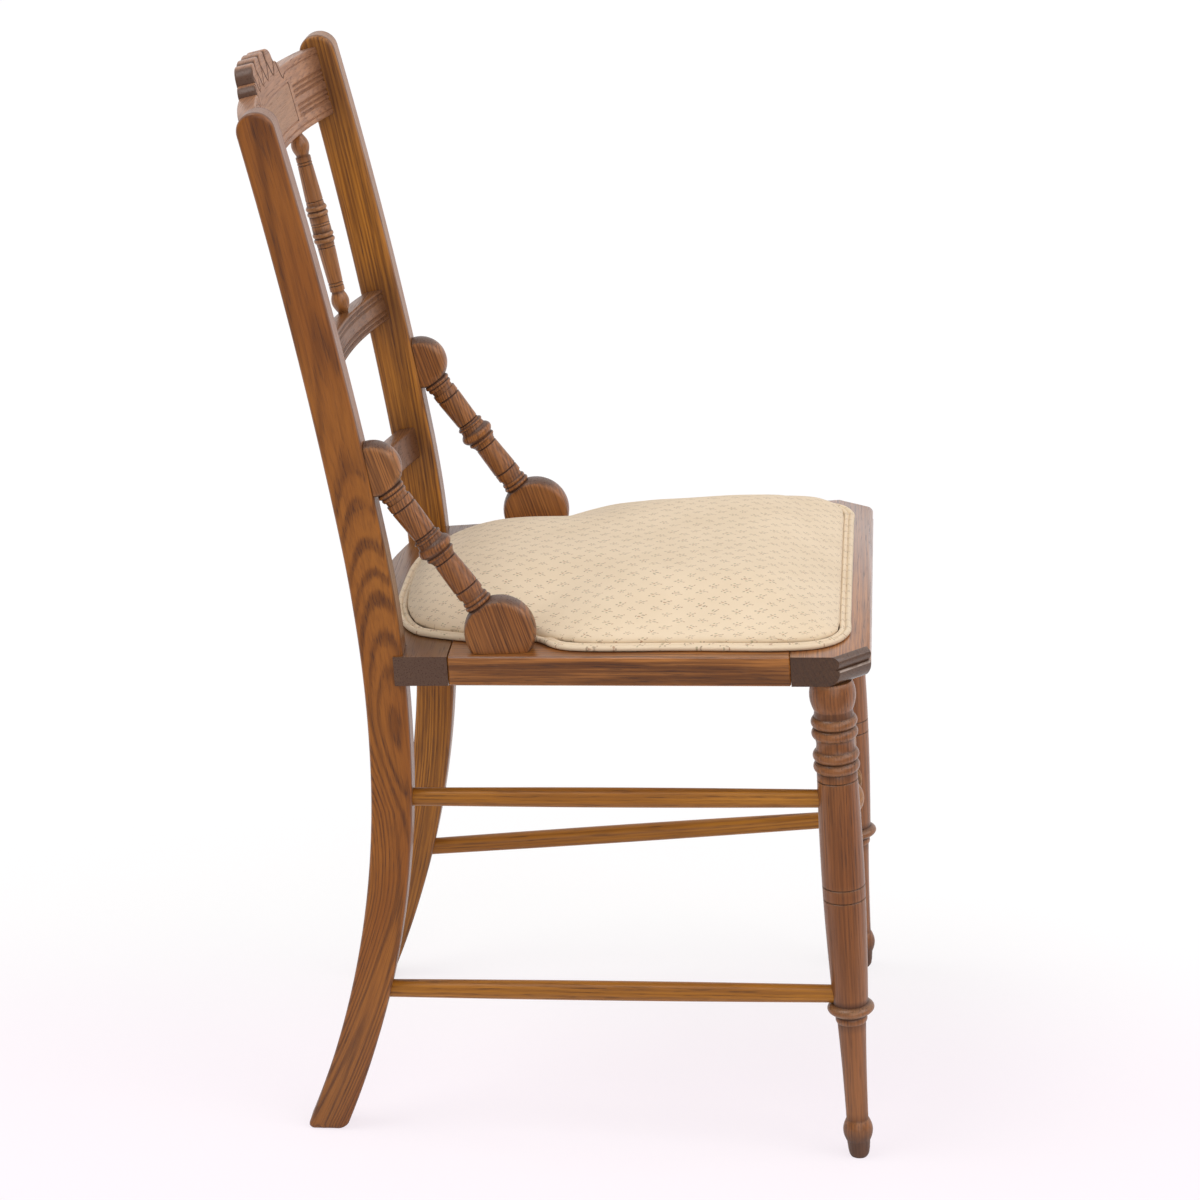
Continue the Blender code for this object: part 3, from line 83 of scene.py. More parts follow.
class Side(Enum):
    """The two sides of the chair, as the sitter has them."""

    RIGHT = -1
    LEFT = 1

    @property
    def word(self) -> str:
        """The side's word in the names of the nodes."""
        return self.name.lower()


class Stripe(Enum):
    """How the growth rings of a piece lie, as a turn about its grain."""

    FLAT = 0.0                # broad arches on the faces that look along local X
    RIFT = 0.9                # slanting stripes
    QUARTER = QUARTER_TURN    # narrow, nearly straight stripes on the faces that look along local X


# Node trees

class Graph:
    """A node tree that is wired up by short calls."""

    def __init__(self, tree: bpy.types.NodeTree) -> None:
        """Hold a tree."""
        self.tree = tree

    def feed(self, node: Node, inputs: Inputs) -> None:
        """Link a node's inputs to other sockets, or set their values.

        Args:
            node: The node.
            inputs: What goes into its sockets, by name or number.
        """
        for key, value in inputs.items():
            if isinstance(value, Socket):
                self.tree.links.new(value, node.inputs[key])
            else:
                node.inputs[key].default_value = value

    def add(self, kind: str, inputs: Optional[Inputs] = None, **settings: object) -> Node:
        """Add a node.

        Args:
            kind: The node's type.
            inputs: What goes into its sockets, by name or number.
            **settings: The node's own options.

        Returns:
            The node.
        """
        node = self.tree.nodes.new(kind)
        for name, value in settings.items():
            setattr(node, name, value)
        self.feed(node, inputs or {})
        return node

    def math(self, operation: str, *values: Value) -> Socket:
        """Result of a Math node."""
        return self.add("ShaderNodeMath", dict(enumerate(values)), operation=operation).outputs[0]

    def times(self, value: Value, share: Value, *rest: Value) -> Socket:
        """Product of two values, with a third added to it if there is one."""
        return self.math("MULTIPLY_ADD" if rest else "MULTIPLY", value, share, *rest)

    def vector(self, operation: str, *values: Value) -> Socket:
        """Result of a Vector Math node, which is a number for a dot product."""
        node = self.add("ShaderNodeVectorMath", dict(enumerate(values)), operation=operation)
        return node.outputs["Value" if operation == "DOT_PRODUCT" else "Vector"]

    def split(self, vector: Value) -> List[Socket]:
        """The three parts of a vector."""
        return list(self.add("ShaderNodeSeparateXYZ", {0: vector}).outputs)

    def remap(self, value: Value, low: float, high: float, start: float = 0.0, end: float = 1.0) -> Socket:
        """Smooth step from one result at low to another at high."""
        inputs = dict(enumerate((value, low, high, start, end)))
        return self.add("ShaderNodeMapRange", inputs, interpolation_type="SMOOTHSTEP").outputs[0]

    def noise(self, place: Value, stretch: Sequence[float], detail: float = 2.0,
              output: Union[int, str] = 0) -> Socket:
        """Noise on a vector, with so many waves to a metre along each of its axes."""
        inputs = {"Vector": self.vector("MULTIPLY", place, stretch), "Scale": 1.0, "Detail": detail}
        return self.add("ShaderNodeTexNoise", inputs).outputs[output]

    def patches(self, place: Value, stretch: Sequence[float], detail: float, *step: float) -> Socket:
        """Noise that is mapped by a smooth step."""
        return self.remap(self.noise(place, stretch, detail), *step)

    def stray(self, place: Value, stretch: Sequence[float], detail: float, reach: float) -> Socket:
        """A place that noise has moved about along X and Y."""
        wander = self.vector("SUBTRACT", self.noise(place, stretch, detail, "Color"), (0.5, 0.5, 0.5))
        return self.vector("ADD", place, self.vector("MULTIPLY", wander, (reach, reach, 0.0)))

    def blend(self, share: Value, low: Value, high: Value) -> Socket:
        """Mix two colours by the share of the second."""
        ends = [(*end, 1.0) if isinstance(end, tuple) else end for end in (low, high)]
        return self.add("ShaderNodeMix", {0: share, 6: ends[0], 7: ends[1]}, data_type="RGBA").outputs[2]

    def layered(self, colour: Value, *layers: Tuple[Value, Value]) -> Value:
        """Lay colours over another, one after the other.

        Args:
            colour: The lowest colour.
            *layers: Share and colour of each layer.

        Returns:
            The mixed colour.
        """
        for share, layer in layers:
            colour = self.blend(share, colour, layer)
        return colour

    def place(self) -> Socket:
        """Object coordinates."""
        return self.add("ShaderNodeTexCoord").outputs["Object"]

    def attribute(self, name: str, output: str = "Fac") -> Socket:
        """One of the mesh's own attributes."""
        return self.add("ShaderNodeAttribute", attribute_name=name).outputs[output]

    def bump(self, height: Value, strength: float, distance: float) -> Socket:
        """The normal of a surface with a fine relief."""
        inputs = {"Strength": strength, "Distance": distance, "Height": height}
        return self.add("ShaderNodeBump", inputs).outputs[0]


class Surface(Graph):
    """The node tree of a new material."""

    def __init__(self, name: str) -> None:
        """Make an empty material of a name."""
        self.material = bpy.data.materials.new(name)
        self.material.use_nodes = True
        super().__init__(self.material.node_tree)
        self.shader = self.tree.nodes["Principled BSDF"]

    def finish(self, inputs: Inputs) -> Material:
        """Feed the Principled shader and give out the material."""
        self.feed(self.shader, inputs)
        return self.material


# Finishes

@dataclass(frozen=True)
class WoodFinish:
    """Varnished open-grained wood: rings, pores, fibres, worn arrises, grime and end grain, with painted
    shade laid in with the grime and a painted glint laid in with the wear.
    """

    name: str
    slot: str
    light: Colour
    deep: Colour
    late: Colour
    pore: Colour
    # Colour of worn arrises; on the front rail, of a painted glint.
    worn_or_glint: Colour
    end: Colour
    ring_pitch: float = 0.0027
    ring_share: float = 0.88
    pore_share: float = 0.76
    roughness: float = 0.38
    coat: float = 0.28
    coat_roughness: float = 0.24
    gloss: float = 0.32
    drift: float = 0.011
    uneven: float = 1.9
    fibre_share: float = 1.0
    # Share of the pore colour laid over grime and painted shade.
    grime_and_shade_share: float = 0.66
    relief: float = 0.00045

    def material(self, along: Optional[Matrix] = None, stippled: bool = False) -> Material:
        """Make the finish.

        Args:
            along: For a piece without a grain attribute, the turn and shift from the row's frame into
                the timber's own, whose Z is the grain.
            stippled: Whether the piece has a stippled ground, by its stipple attribute.

        Returns:
            The material.
        """
        graph = Surface(self.name)
        if along is None:
            grain = graph.attribute("grain", "Vector")
            # Attributes: grime with painted shade in hollows and joints, worn arrises with a painted glint,
            # and end grain.
            cut_end, grime_and_shade_mask, wear_and_glint = map(graph.attribute, ("endgrain", "grime_and_shade", "wear_and_glint"))
        else:
            place = graph.place()
            grain = graph.add("ShaderNodeMapping", {
                "Vector": place, "Location": along.to_translation(), "Rotation": along.to_euler()}).outputs[0]
            normal = graph.add("ShaderNodeNewGeometry").outputs["Normal"]
            facing = graph.vector("DOT_PRODUCT", normal, tuple(along.to_3x3()[2]))
            cut_end = graph.remap(graph.math("ABSOLUTE", facing), 0.75, 0.90)
            grime_and_shade_mask = graph.patches(place, (23.0, 23.0, 60.0), 2.0, 0.60, 0.85, 0.0, 0.45)
            wear_and_glint = graph.patches(place, (41.0, 41.0, 70.0), 2.0, 0.62, 0.80, 0.0, 0.25)
        x, y, _ = graph.split(graph.stray(grain, (14.0, 14.0, 2.2), 1.5, self.drift))
        reach = graph.math("SQRT", graph.times(x, x, graph.times(y, y)))
        years = graph.add("ShaderNodeTexNoise", {"W": graph.times(reach, 150.0), "Scale": 1.0},
                          noise_dimensions="1D").outputs[0]
        shiver = graph.noise(grain, (210.0, 210.0, 9.0))
        count = graph.times(shiver, 0.40 * self.fibre_share, graph.math("DIVIDE", reach, self.ring_pitch))
        count = graph.times(years, self.uneven, count)
        bands = graph.remap(graph.math("PINGPONG", graph.times(count, 2.0), 1.0), 0.30, 0.92)
        early = graph.times(bands, graph.patches(grain, (70.0, 70.0, 6.0), 2.0, 0.30, 0.70, 0.45, 1.0))
        dashes = graph.patches(grain, (900.0, 900.0, 40.0), 2.0, 0.50, 0.68)
        pores = graph.times(dashes, graph.times(early, 0.75, 0.25))
        fibre = graph.noise(grain, (420.0, 420.0, 10.0), 3.0)
        fibres = graph.remap(fibre, 0.42, 0.64, 0.0, self.fibre_share * (0.30 + 0.42 * self.ring_share))
        streaks = graph.patches(grain, (170.0, 170.0, 3.5), 3.0, 0.54, 0.72, 0.0,
                                self.fibre_share * self.ring_share * 0.30)
        ragged = graph.patches(grain, (90.0, 90.0, 55.0), 3.0, 0.30, 0.62, 0.25, 1.0)
        colour = graph.layered(
            self.light,
            (graph.patches(grain, (15.0, 15.0, 4.0), 2.0, 0.32, 0.68), self.deep),
            (graph.times(early, self.ring_share), self.late),
            (fibres, self.late),
            (streaks, self.pore),
            (graph.times(pores, self.pore_share), self.pore),
            (graph.times(cut_end, 0.88), graph.blend(dashes, self.end, self.pore)),
            # Worn arrises, and the painted glint on the front rail's fillet.
            (graph.times(wear_and_glint, graph.times(ragged, 0.42)), self.worn_or_glint),
            # Grime and painted shade, darkened towards the pore colour.
            (graph.times(grime_and_shade_mask, self.grime_and_shade_share), self.pore))
        height = graph.times(pores, -0.75, graph.times(early, -0.30, fibre))
        if stippled:
            punch = graph.add("ShaderNodeTexVoronoi", {"Vector": grain, "Scale": 620.0}).outputs["Distance"]
            ground = graph.attribute("stipple")
            dimple = graph.times(graph.remap(punch, 0.05, 0.42, 1.0, 0.0), ground)
            height = graph.times(dimple, -1.6, height)
            colour = graph.layered(colour, (graph.times(ground, 0.42), self.worn_or_glint),
                                   (graph.times(dimple, 0.55), self.late))
        dull = graph.times(cut_end, 0.10, graph.times(grime_and_shade_mask, 0.22, self.roughness))
        return graph.finish({
            "Base Color": colour, "Roughness": graph.times(pores, 0.20, dull),
            "Normal": graph.bump(height, 0.42, self.relief), "Specular IOR Level": self.gloss,
            "Coat Weight": self.coat, "Coat Roughness": self.coat_roughness})


@dataclass(frozen=True)
class BareWood:
    """Unvarnished pale wood for the dowels and the ply board, on Object coordinates."""

    name: str
    light: Colour
    dark: Colour
    stretch: Triple

    def material(self) -> Material:
        """Make the finish.

        Returns:
            The material.
        """
        graph = Surface(self.name)
        place = graph.place()
        fibre = graph.noise(place, self.stretch, 4.0)
        specks = graph.patches(place, (900.0, 900.0, 900.0), 2.0, 0.55, 0.75)
        share = graph.times(specks, 0.35, graph.remap(fibre, 0.35, 0.70))
        return graph.finish({
            "Base Color": graph.blend(share, self.light, self.dark), "Normal": graph.bump(fibre, 0.3, 0.0003),
            "Roughness": graph.remap(fibre, 0.3, 0.7, 0.62, 0.80)})


@dataclass(frozen=True)
class SteelFinish:
    """Plain drawn steel of the screws, a little dull, on Object coordinates."""

    name: str
    colour: Colour
    stained: Colour

    def material(self) -> Material:
        """Make the finish.

        Returns:
            The material.
        """
        graph = Surface(self.name)
        stain = graph.patches(graph.place(), (420.0, 420.0, 420.0), 3.0, 0.45, 0.72)
        return graph.finish({"Base Color": graph.blend(stain, self.colour, self.stained), "Metallic": 1.0,
                             "Roughness": graph.times(stain, 0.35, 0.32)})


@dataclass(frozen=True)
class Leaf:
    """One oval of a sprig: its middle, turn, and half length and width, in shares of the repeat."""

    x: float
    y: float
    turn: float
    long: float
    wide: float
    colour: Colour

    def reach(self, graph: Graph, x: Socket, y: Socket) -> Socket:
        """Square of the distance from the leaf's middle, 1 on its edge.

        Args:
            graph: The material's graph.
            x: Place across in the repeat.
            y: Place along in the repeat.

        Returns:
            The square.
        """
        c, s = math.cos(self.turn), math.sin(self.turn)
        dx, dy = graph.math("SUBTRACT", x, self.x), graph.math("SUBTRACT", y, self.y)
        run = graph.times(dy, s / self.long, graph.times(dx, c / self.long))
        side = graph.times(dx, -s / self.wide, graph.times(dy, c / self.wide))
        return graph.times(run, run, graph.times(side, side))


@dataclass(frozen=True)
class ClothFinish:
    """Cream cotton with a small sprig print, read from the plan attribute in metres."""

    name: str
    slot: str
    ground: Colour
    shade: Colour
    repeat: Tuple[float, float]
    sprig: Tuple[Leaf, ...]
    thread: float = 0.00055
    stray: float = 0.009
    half_drop: float = 0.5

    @staticmethod
    def in_repeat(graph: Graph, value: Socket, size: float, shift: float, sign: float) -> Socket:
        """Place in one of the print's repeats, from -0.5 to 0.5."""
        count = graph.math("ADD", graph.math("DIVIDE", value, size), shift)
        return graph.times(graph.math("SUBTRACT", graph.math("FRACT", count), 0.5), sign)

    def print_sprigs(self, graph: Graph, plan: Value, colour: Value) -> Value:
        """Lay the print over the ground colour, in two sets of sprigs that face each other.

        Args:
            graph: The material's graph.
            plan: The place on the cloth in metres.
            colour: The ground colour.

        Returns:
            The printed colour.
        """
        ragged = graph.noise(plan, (700.0, 700.0, 700.0), 3.0)
        across, along, _ = graph.split(graph.stray(plan, (55.0, 55.0, 1.0), 1.0, self.stray))
        for shift, mirror in ((0.0, 1.0), (self.half_drop, -1.0)):
            x = self.in_repeat(graph, across, self.repeat[0], shift, mirror)
            y = self.in_repeat(graph, along, self.repeat[1], shift, 1.0)
            for leaf in self.sprig:
                worn_or_glint = graph.times(ragged, 2.4, leaf.reach(graph, x, y))
                colour = graph.blend(graph.remap(worn_or_glint, 1.30, 2.40, 0.68, 0.0), colour, leaf.colour)
        return colour

    def material(self) -> Material:
        """Make the finish.

        Returns:
            The material.
        """
        graph = Surface(self.name)
        plan = graph.attribute("plan", "Vector")
        waves = [graph.math("SINE", graph.times(v, math.tau / self.thread)) for v in graph.split(plan)[:2]]
        slub = graph.noise(plan, (260.0, 2200.0, 1.0))
        colour = graph.layered(
            self.ground, (graph.patches(plan, (16.0, 16.0, 1.0), 3.0, 0.35, 0.70, 0.0, 0.35), self.shade),
            (graph.remap(slub, 0.45, 0.80, 0.0, 0.22), self.shade))
        colour = self.print_sprigs(graph, plan, colour)
        # Painted shade where the cloth meets the seat, at the foot of the cushion and the welt.
        cloth_shade = tuple(0.55 * c for c in self.shade)
        return graph.finish({
            "Base Color": graph.blend(graph.times(graph.attribute("grime_and_shade"), 0.34), colour, cloth_shade),
            "Roughness": graph.remap(slub, 0.3, 0.7, 0.86, 0.96), "Specular IOR Level": 0.25,
            "Normal": graph.bump(graph.times(graph.times(*waves), 0.25, slub), 0.22, 0.0003),
            "Sheen Weight": 0.12, "Sheen Roughness": 0.45})


BROWN_OAK = WoodFinish(
    "brown_oak", "oak_brown", light=(0.455, 0.172, 0.034), deep=(0.345, 0.118, 0.022),
    late=(0.116, 0.036, 0.008), pore=(0.055, 0.019, 0.008), worn_or_glint=(0.38, 0.200, 0.095),
    end=(0.098, 0.052, 0.034), coat=0.60)
# Paler and greyer than the brown oak: partly the crest's own tone, partly a painted sheen.
PRESSED_OAK = replace(
    BROWN_OAK, name="pressed_oak", light=(0.43, 0.200, 0.092), deep=(0.335, 0.148, 0.066),
    late=(0.165, 0.068, 0.036), end=(0.070, 0.035, 0.023), ring_share=0.25, pore_share=0.45, coat=0.28)
TURNED_OAK = replace(
    BROWN_OAK, name="turned_oak", light=(0.385, 0.148, 0.035), deep=(0.288, 0.100, 0.022),
    late=(0.080, 0.026, 0.008), ring_pitch=0.0024, ring_share=0.66, fibre_share=0.8, grime_and_shade_share=0.45,
    coat=0.28)
LEG_OAK = replace(
    TURNED_OAK, name="leg_oak", light=(0.300, 0.106, 0.025), deep=(0.236, 0.076, 0.018),
    end=(0.20, 0.085, 0.030), ring_pitch=0.0027, ring_share=0.34, pore_share=0.55, grime_and_shade_share=0.80,
    coat=0.50)
SPINDLE_OAK = replace(LEG_OAK, name="spindle_oak", light=(0.420, 0.170, 0.040), deep=(0.330, 0.122, 0.028))
# Darker than the brown oak, for the mid and lower back rails: partly their own tone, partly painted shade.
RAIL_OAK = replace(
    BROWN_OAK, name="rail_oak", light=(0.250, 0.104, 0.031), deep=(0.190, 0.073, 0.021),
    late=(0.090, 0.034, 0.012), ring_share=0.40, fibre_share=0.6, coat=0.30)
# Darker than the brown oak all over: partly grime, partly painted shade where the rail lies beside the
# cushion.
REAR_OAK = replace(
    BROWN_OAK, name="rear_rail_oak", light=(0.215, 0.095, 0.025), deep=(0.165, 0.066, 0.016),
    ring_share=0.45, fibre_share=0.7)
# The pale edge colour of this finish is a painted glint along the fillet of the moulding.
FRONT_OAK = replace(
    BROWN_OAK, name="front_rail_oak", light=(0.410, 0.154, 0.032), deep=(0.310, 0.106, 0.020),
    worn_or_glint=(0.80, 0.66, 0.56), end=(0.056, 0.030, 0.018), ring_share=0.50, coat=1.0)
SAWN_OAK = {
    Side.RIGHT: replace(
        BROWN_OAK, name="sawn_oak_right", light=(0.350, 0.121, 0.015), deep=(0.266, 0.081, 0.009),
        late=(0.105, 0.029, 0.005), worn_or_glint=(0.26, 0.140, 0.085), ring_pitch=0.0040, ring_share=0.70,
        coat=0.30, drift=0.004, uneven=0.9, fibre_share=0.45),
    # Brighter than the right post's: painted light, for the inner face that is seen and gets less light.
    Side.LEFT: replace(
        BROWN_OAK, name="sawn_oak_left", light=(0.445, 0.171, 0.019), deep=(0.362, 0.130, 0.013),
        late=(0.145, 0.046, 0.007), worn_or_glint=(0.26, 0.140, 0.085), ring_pitch=0.0025, ring_share=0.70,
        coat=0.30),
}
GOLDEN_OAK = WoodFinish(
    "golden_oak", "oak_golden", light=(0.440, 0.178, 0.021), deep=(0.350, 0.130, 0.014),
    late=(0.160, 0.054, 0.010), pore=(0.080, 0.029, 0.009), worn_or_glint=(0.42, 0.23, 0.09),
    end=(0.13, 0.068, 0.040), ring_pitch=0.0034, ring_share=0.50, fibre_share=0.6, coat=0.15, gloss=0.25)
FINISHES_TURNED = (TURNED_OAK, LEG_OAK, SPINDLE_OAK, GOLDEN_OAK)
BEECH = BareWood("bare_beech", (0.60, 0.42, 0.24), (0.44, 0.28, 0.14), (70.0, 70.0, 300.0))
PLY = BareWood("bare_ply", (0.56, 0.40, 0.22), (0.40, 0.26, 0.13), (14.0, 220.0, 260.0))
STEEL = SteelFinish("screw_steel_dull", (0.42, 0.41, 0.39), (0.16, 0.11, 0.08))
RUST: Colour = (0.36, 0.165, 0.085)
MOSS: Colour = (0.285, 0.245, 0.135)
SLATE: Colour = (0.275, 0.190, 0.125)
SPRIG = (
    Leaf(-0.020, -0.105, 1.40, 0.088, 0.036, SLATE),
    Leaf(0.060, 0.050, 1.75, 0.084, 0.038, RUST),
    Leaf(-0.105, 0.020, 1.15, 0.064, 0.040, MOSS),
    Leaf(0.135, -0.070, 2.00, 0.060, 0.036, SLATE),
    Leaf(0.010, 0.180, 1.35, 0.058, 0.042, SLATE),
    Leaf(-0.080, -0.215, 1.65, 0.046, 0.036, RUST),
    Leaf(0.160, 0.090, 1.05, 0.050, 0.034, MOSS),
)
CREAM_COTTON = ClothFinish("cream_sprig_cotton", "cream_cloth", ground=(0.800, 0.662, 0.482),
                           shade=(0.700, 0.562, 0.388), repeat=(0.0186, 0.0198), sprig=SPRIG)


# Meshes

def link(name: str, mesh: Mesh) -> Piece:
    """Put a mesh in the scene as an object.

    Args:
        name: The object's name.
        mesh: The mesh.

    Returns:
        The object.
    """
    piece = bpy.data.objects.new(name, mesh)
    bpy.context.scene.collection.objects.link(piece)
    return piece


def draw_mesh(name: str, points: Array, edges: Sequence = (), faces: Sequence = ()) -> Mesh:
    """Draw a new mesh.

    Args:
        name: Its name.
        points: Its points, as arrays of three.
        edges: Its edges, by pairs of points.
        faces: Its faces, by points.

    Returns:
        The mesh.
    """
    mesh = bpy.data.meshes.new(name)
    mesh.from_pydata(points.reshape(-1, 3).tolist(), edges, faces)
    return mesh


def open_shape(mesh: Mesh) -> Shape:
    """Open a mesh for changes.

    Args:
        mesh: The mesh.

    Returns:
        Its shape, which settle writes back.
    """
    shape = bmesh.new()
    shape.from_mesh(mesh)
    return shape


def settle(shape: Shape, mesh: Mesh) -> None:
    """Close a shape's seams, point its faces outwards and write it to a mesh.

    Args:
        shape: The shape, which is freed.
        mesh: The mesh that takes it.
    """
    bmesh.ops.remove_doubles(shape, verts=shape.verts, dist=2e-6)
    bmesh.ops.recalc_face_normals(shape, faces=shape.faces)
    if shape.calc_volume(signed=True) < 0.0:
        bmesh.ops.reverse_faces(shape, faces=shape.faces)
    shape.to_mesh(mesh)
    shape.free()
    mesh.shade_smooth()
    mesh.set_sharp_from_angle(angle=SMOOTH_ANGLE)


def numbered(grid: Array, start: int = 0) -> Array:
    """Numbers of the points of a grid."""
    return np.arange(start, start + grid.shape[0] * grid.shape[1]).reshape(grid.shape[:2])


def quads(index: Array) -> List[List[int]]:
    """Four-sided faces between the rows and columns of numbered points."""
    low, high = index[:-1], index[1:]
    return np.stack([low[:, :-1], low[:, 1:], high[:, 1:], high[:, :-1]], 2).reshape(-1, 4).tolist()


def closed_piece(name: str, points: Array, faces: List[List[int]]) -> Piece:
    """A piece whose faces close round it.

    Args:
        name: The piece's name.
        points: Its points.
        faces: Its faces, by points.

    Returns:
        The piece.
    """
    mesh = draw_mesh(name, points, (), faces)
    settle(open_shape(mesh), mesh)
    return link(name, mesh)


def skin(name: str, rings: Array) -> Piece:
    """Skin a row of rings of equal count, with a cap on each end."""
    index = numbered(rings)
    return closed_piece(name, rings, quads(np.column_stack([index, index[:, 0]])) + index[[0, -1]].tolist())


def bake(piece: Piece) -> Piece:
    """Turn what a piece's modifiers give into its plain mesh.

    Args:
        piece: The piece.

    Returns:
        The same piece.
    """
    bpy.context.view_layer.update()
    graph = bpy.context.evaluated_depsgraph_get()
    mesh = bpy.data.meshes.new_from_object(piece.evaluated_get(graph), depsgraph=graph)
    old = piece.data
    piece.modifiers.clear()
    piece.data = mesh
    mesh.name = piece.name
    bpy.data.meshes.remove(old)
    return piece


def divide(shape: Shape, point: Sequence[float], normal: Sequence[float], clear: bool = False) -> list:
    """Cut a shape along a plane, and clear what lies beyond it if told to; gives the cut."""
    whole = shape.verts[:] + shape.edges[:] + shape.faces[:]
    return bmesh.ops.bisect_plane(shape, geom=whole, plane_co=point, plane_no=normal,
                                  clear_outer=clear)["geom_cut"]


def slice_off(piece: Piece, point: Vector, normal: Vector) -> None:
    """Cut away what lies beyond a plane and close the cut.

    Args:
        piece: The piece, at the origin.
        point: A point of the plane.
        normal: The way to the side that goes.
    """
    shape = open_shape(piece.data)
    cut = divide(shape, point, normal, True)
    edges = [item for item in cut if isinstance(item, bmesh.types.BMEdge)]
    bmesh.ops.holes_fill(shape, edges=edges, sides=0)
    settle(shape, piece.data)


def points_of(mesh: Mesh) -> Array:
    """A mesh's points.

    Args:
        mesh: The mesh.

    Returns:
        The points, one to a row.
    """
    flat = np.empty(len(mesh.vertices) * 3)
    mesh.vertices.foreach_get("co", flat)
    return flat.reshape(-1, 3)


def move_points(mesh: Mesh, points: Array) -> None:
    """Move a mesh's points to new places."""
    mesh.vertices.foreach_set("co", points.ravel())


def carried(points: Array, place: Matrix) -> Array:
    """Points carried along by a matrix."""
    turn = np.array(place)
    return points @ turn[:3, :3].T + turn[:3, 3]


def write(mesh: Mesh, name: str, values: Sequence, domain: str = "POINT") -> None:
    """Write a number or a vector for each point or face to an attribute.

    Args:
        mesh: The mesh.
        name: The attribute's name.
        values: A number, or a row of three, for each.
        domain: Where the attribute lies.
    """
    kind, key = ("FLOAT_VECTOR", "vector") if np.ndim(values) == 2 else ("FLOAT", "value")
    layer = mesh.attributes.get(name) or mesh.attributes.new(name, kind, domain)
    layer.data.foreach_set(key, np.asarray(values, np.float32).ravel())


def along(start: Vector, end: Vector) -> Matrix:
    """Matrix that stands local Z on a line.

    Args:
        start: Where local Z begins.
        end: A point further along it.

    Returns:
        The matrix, with local X as near world X as it can be.
    """
    axis = (end - start).normalized()
    side = Vector((1.0, 0.0, 0.0))
    if abs(axis.dot(side)) > 0.9:
        side = Vector((0.0, 1.0, 0.0))
    side = (side - axis * side.dot(axis)).normalized()
    turn = Matrix((side, axis.cross(side), axis)).transposed().to_4x4()
    return Matrix.Translation(start) @ turn


def hump(values: Array) -> Array:
    """A round hump: 1 at 0, and 0 from -1 down and from 1 up."""
    return np.cos(np.clip(values, -1.0, 1.0) * math.pi / 2) ** 2


def ease(values: Array) -> Array:
    """A smooth step from 0 to 1."""
    t = np.clip(values, 0.0, 1.0)
    return t * t * (3.0 - 2.0 * t)


def spread(low: float, high: float, pitch: float) -> Array:
    """Even values from low to high, about a pitch apart."""
    return np.linspace(low, high, max(2, int(round((high - low) / pitch)) + 1))


@dataclass
class Timber:
    """The blank that a piece is cut from: where its grain runs and how its rings lie."""

    frame: Matrix
    stripe: Stripe
    draw: random.Random
    end_share: float = 1.0
    end_from: float = 0.36
    end_fade: float = 0.34
    bend: Optional[Callable[[Array], Array]] = None

    def end_grain(self, facing: Sequence[float]) -> Array:
        """Share of end grain on faces, by how far they face along the grain."""
        return ease((np.array(facing) - self.end_from) / self.end_fade) * self.end_share

    def mark(self, mesh: Mesh) -> None:
        """Write the grain and end grain of a mesh in the frame that the timber is in.

        Args:
            mesh: The mesh to mark.
        """
        heart = self.draw.uniform(0.048, 0.072)
        turn = self.stripe.value + self.draw.uniform(-0.22, 0.22)
        offset = (heart * math.cos(turn), heart * math.sin(turn), self.draw.uniform(0.5, 9.0))
        local = carried(points_of(mesh), self.frame.inverted())
        if self.bend:
            local = self.bend(local)
        else:
            local[:, 0] += self.draw.uniform(-0.018, 0.018) * local[:, 2]
            local += offset
        write(mesh, "grain", local)
        axis = self.frame.to_3x3() @ UP
        write(mesh, "endgrain", self.end_grain([abs(f.normal.dot(axis)) for f in mesh.polygons]), "FACE")


def dress(piece: Piece, material: Material) -> None:
    """Give a piece one finish all over."""
    piece.data.materials.clear()
    piece.data.materials.append(material)


def hand_over(piece: Piece, material: Material, slot: str, *nodes: str) -> Piece:
    """Move a finished piece over the row's origin and set it in the frame.

    Args:
        piece: The piece, drawn in the solids' own frame.
        material: Its finish.
        slot: Not used.
        *nodes: The solids that it stands for.

    Returns:
        The piece.
    """
    piece.data.transform(Matrix.Translation((0.0, ORIGIN_Y, 0.0)))
    dress(piece, material)
    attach(piece, "root")
    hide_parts(*nodes)
    LOG.info("%s: %d faces, for %s", piece.name, len(piece.data.polygons), ", ".join(nodes))
    return piece


# Geometry Nodes

class NodeMaker(Graph):
    """A Geometry Nodes tree with named inputs, run on a line mesh and turned to a plain mesh."""

    def __init__(self, name: str, inputs: Mapping[str, str]) -> None:
        """Make the tree's sockets.

        Args:
            name: The tree's name.
            inputs: Socket type of each named input.
        """
        super().__init__(bpy.data.node_groups.new(name, "GeometryNodeTree"))
        face = self.tree.interface
        face.new_socket("Line", in_out="INPUT", socket_type="NodeSocketGeometry")
        self.sockets = {key: face.new_socket(key, in_out="INPUT", socket_type=f"NodeSocket{kind}").identifier
                        for key, kind in inputs.items()}
        face.new_socket("Piece", in_out="OUTPUT", socket_type="NodeSocketGeometry")
        self.given = self.add("NodeGroupInput").outputs

    def shape(self, kind: str, inputs: Inputs, **settings: object) -> Socket:
        """First output of a new Geometry node."""
        return self.add(f"GeometryNode{kind}", inputs, **settings).outputs[0]

    def end(self, shape: Socket) -> None:
        """Close the tree with real meshes and their finish."""
        inputs = {"Geometry": self.shape("RealizeInstances", {0: shape}), "Material": self.given["Finish"]}
        self.add("NodeGroupOutput", {0: self.shape("SetMaterial", inputs)})

    def run(self, piece: Piece, values: Mapping[str, object]) -> Piece:
        """Run the tree on a piece's line.

        Args:
            piece: An object whose mesh is the line.
            values: The inputs by name.

        Returns:
            The same object with the plain result.
        """
        step = piece.modifiers.new(self.tree.name, "NODES")
        step.node_group = self.tree
        for key, value in values.items():
            step[self.sockets[key]] = value
        return bake(piece)


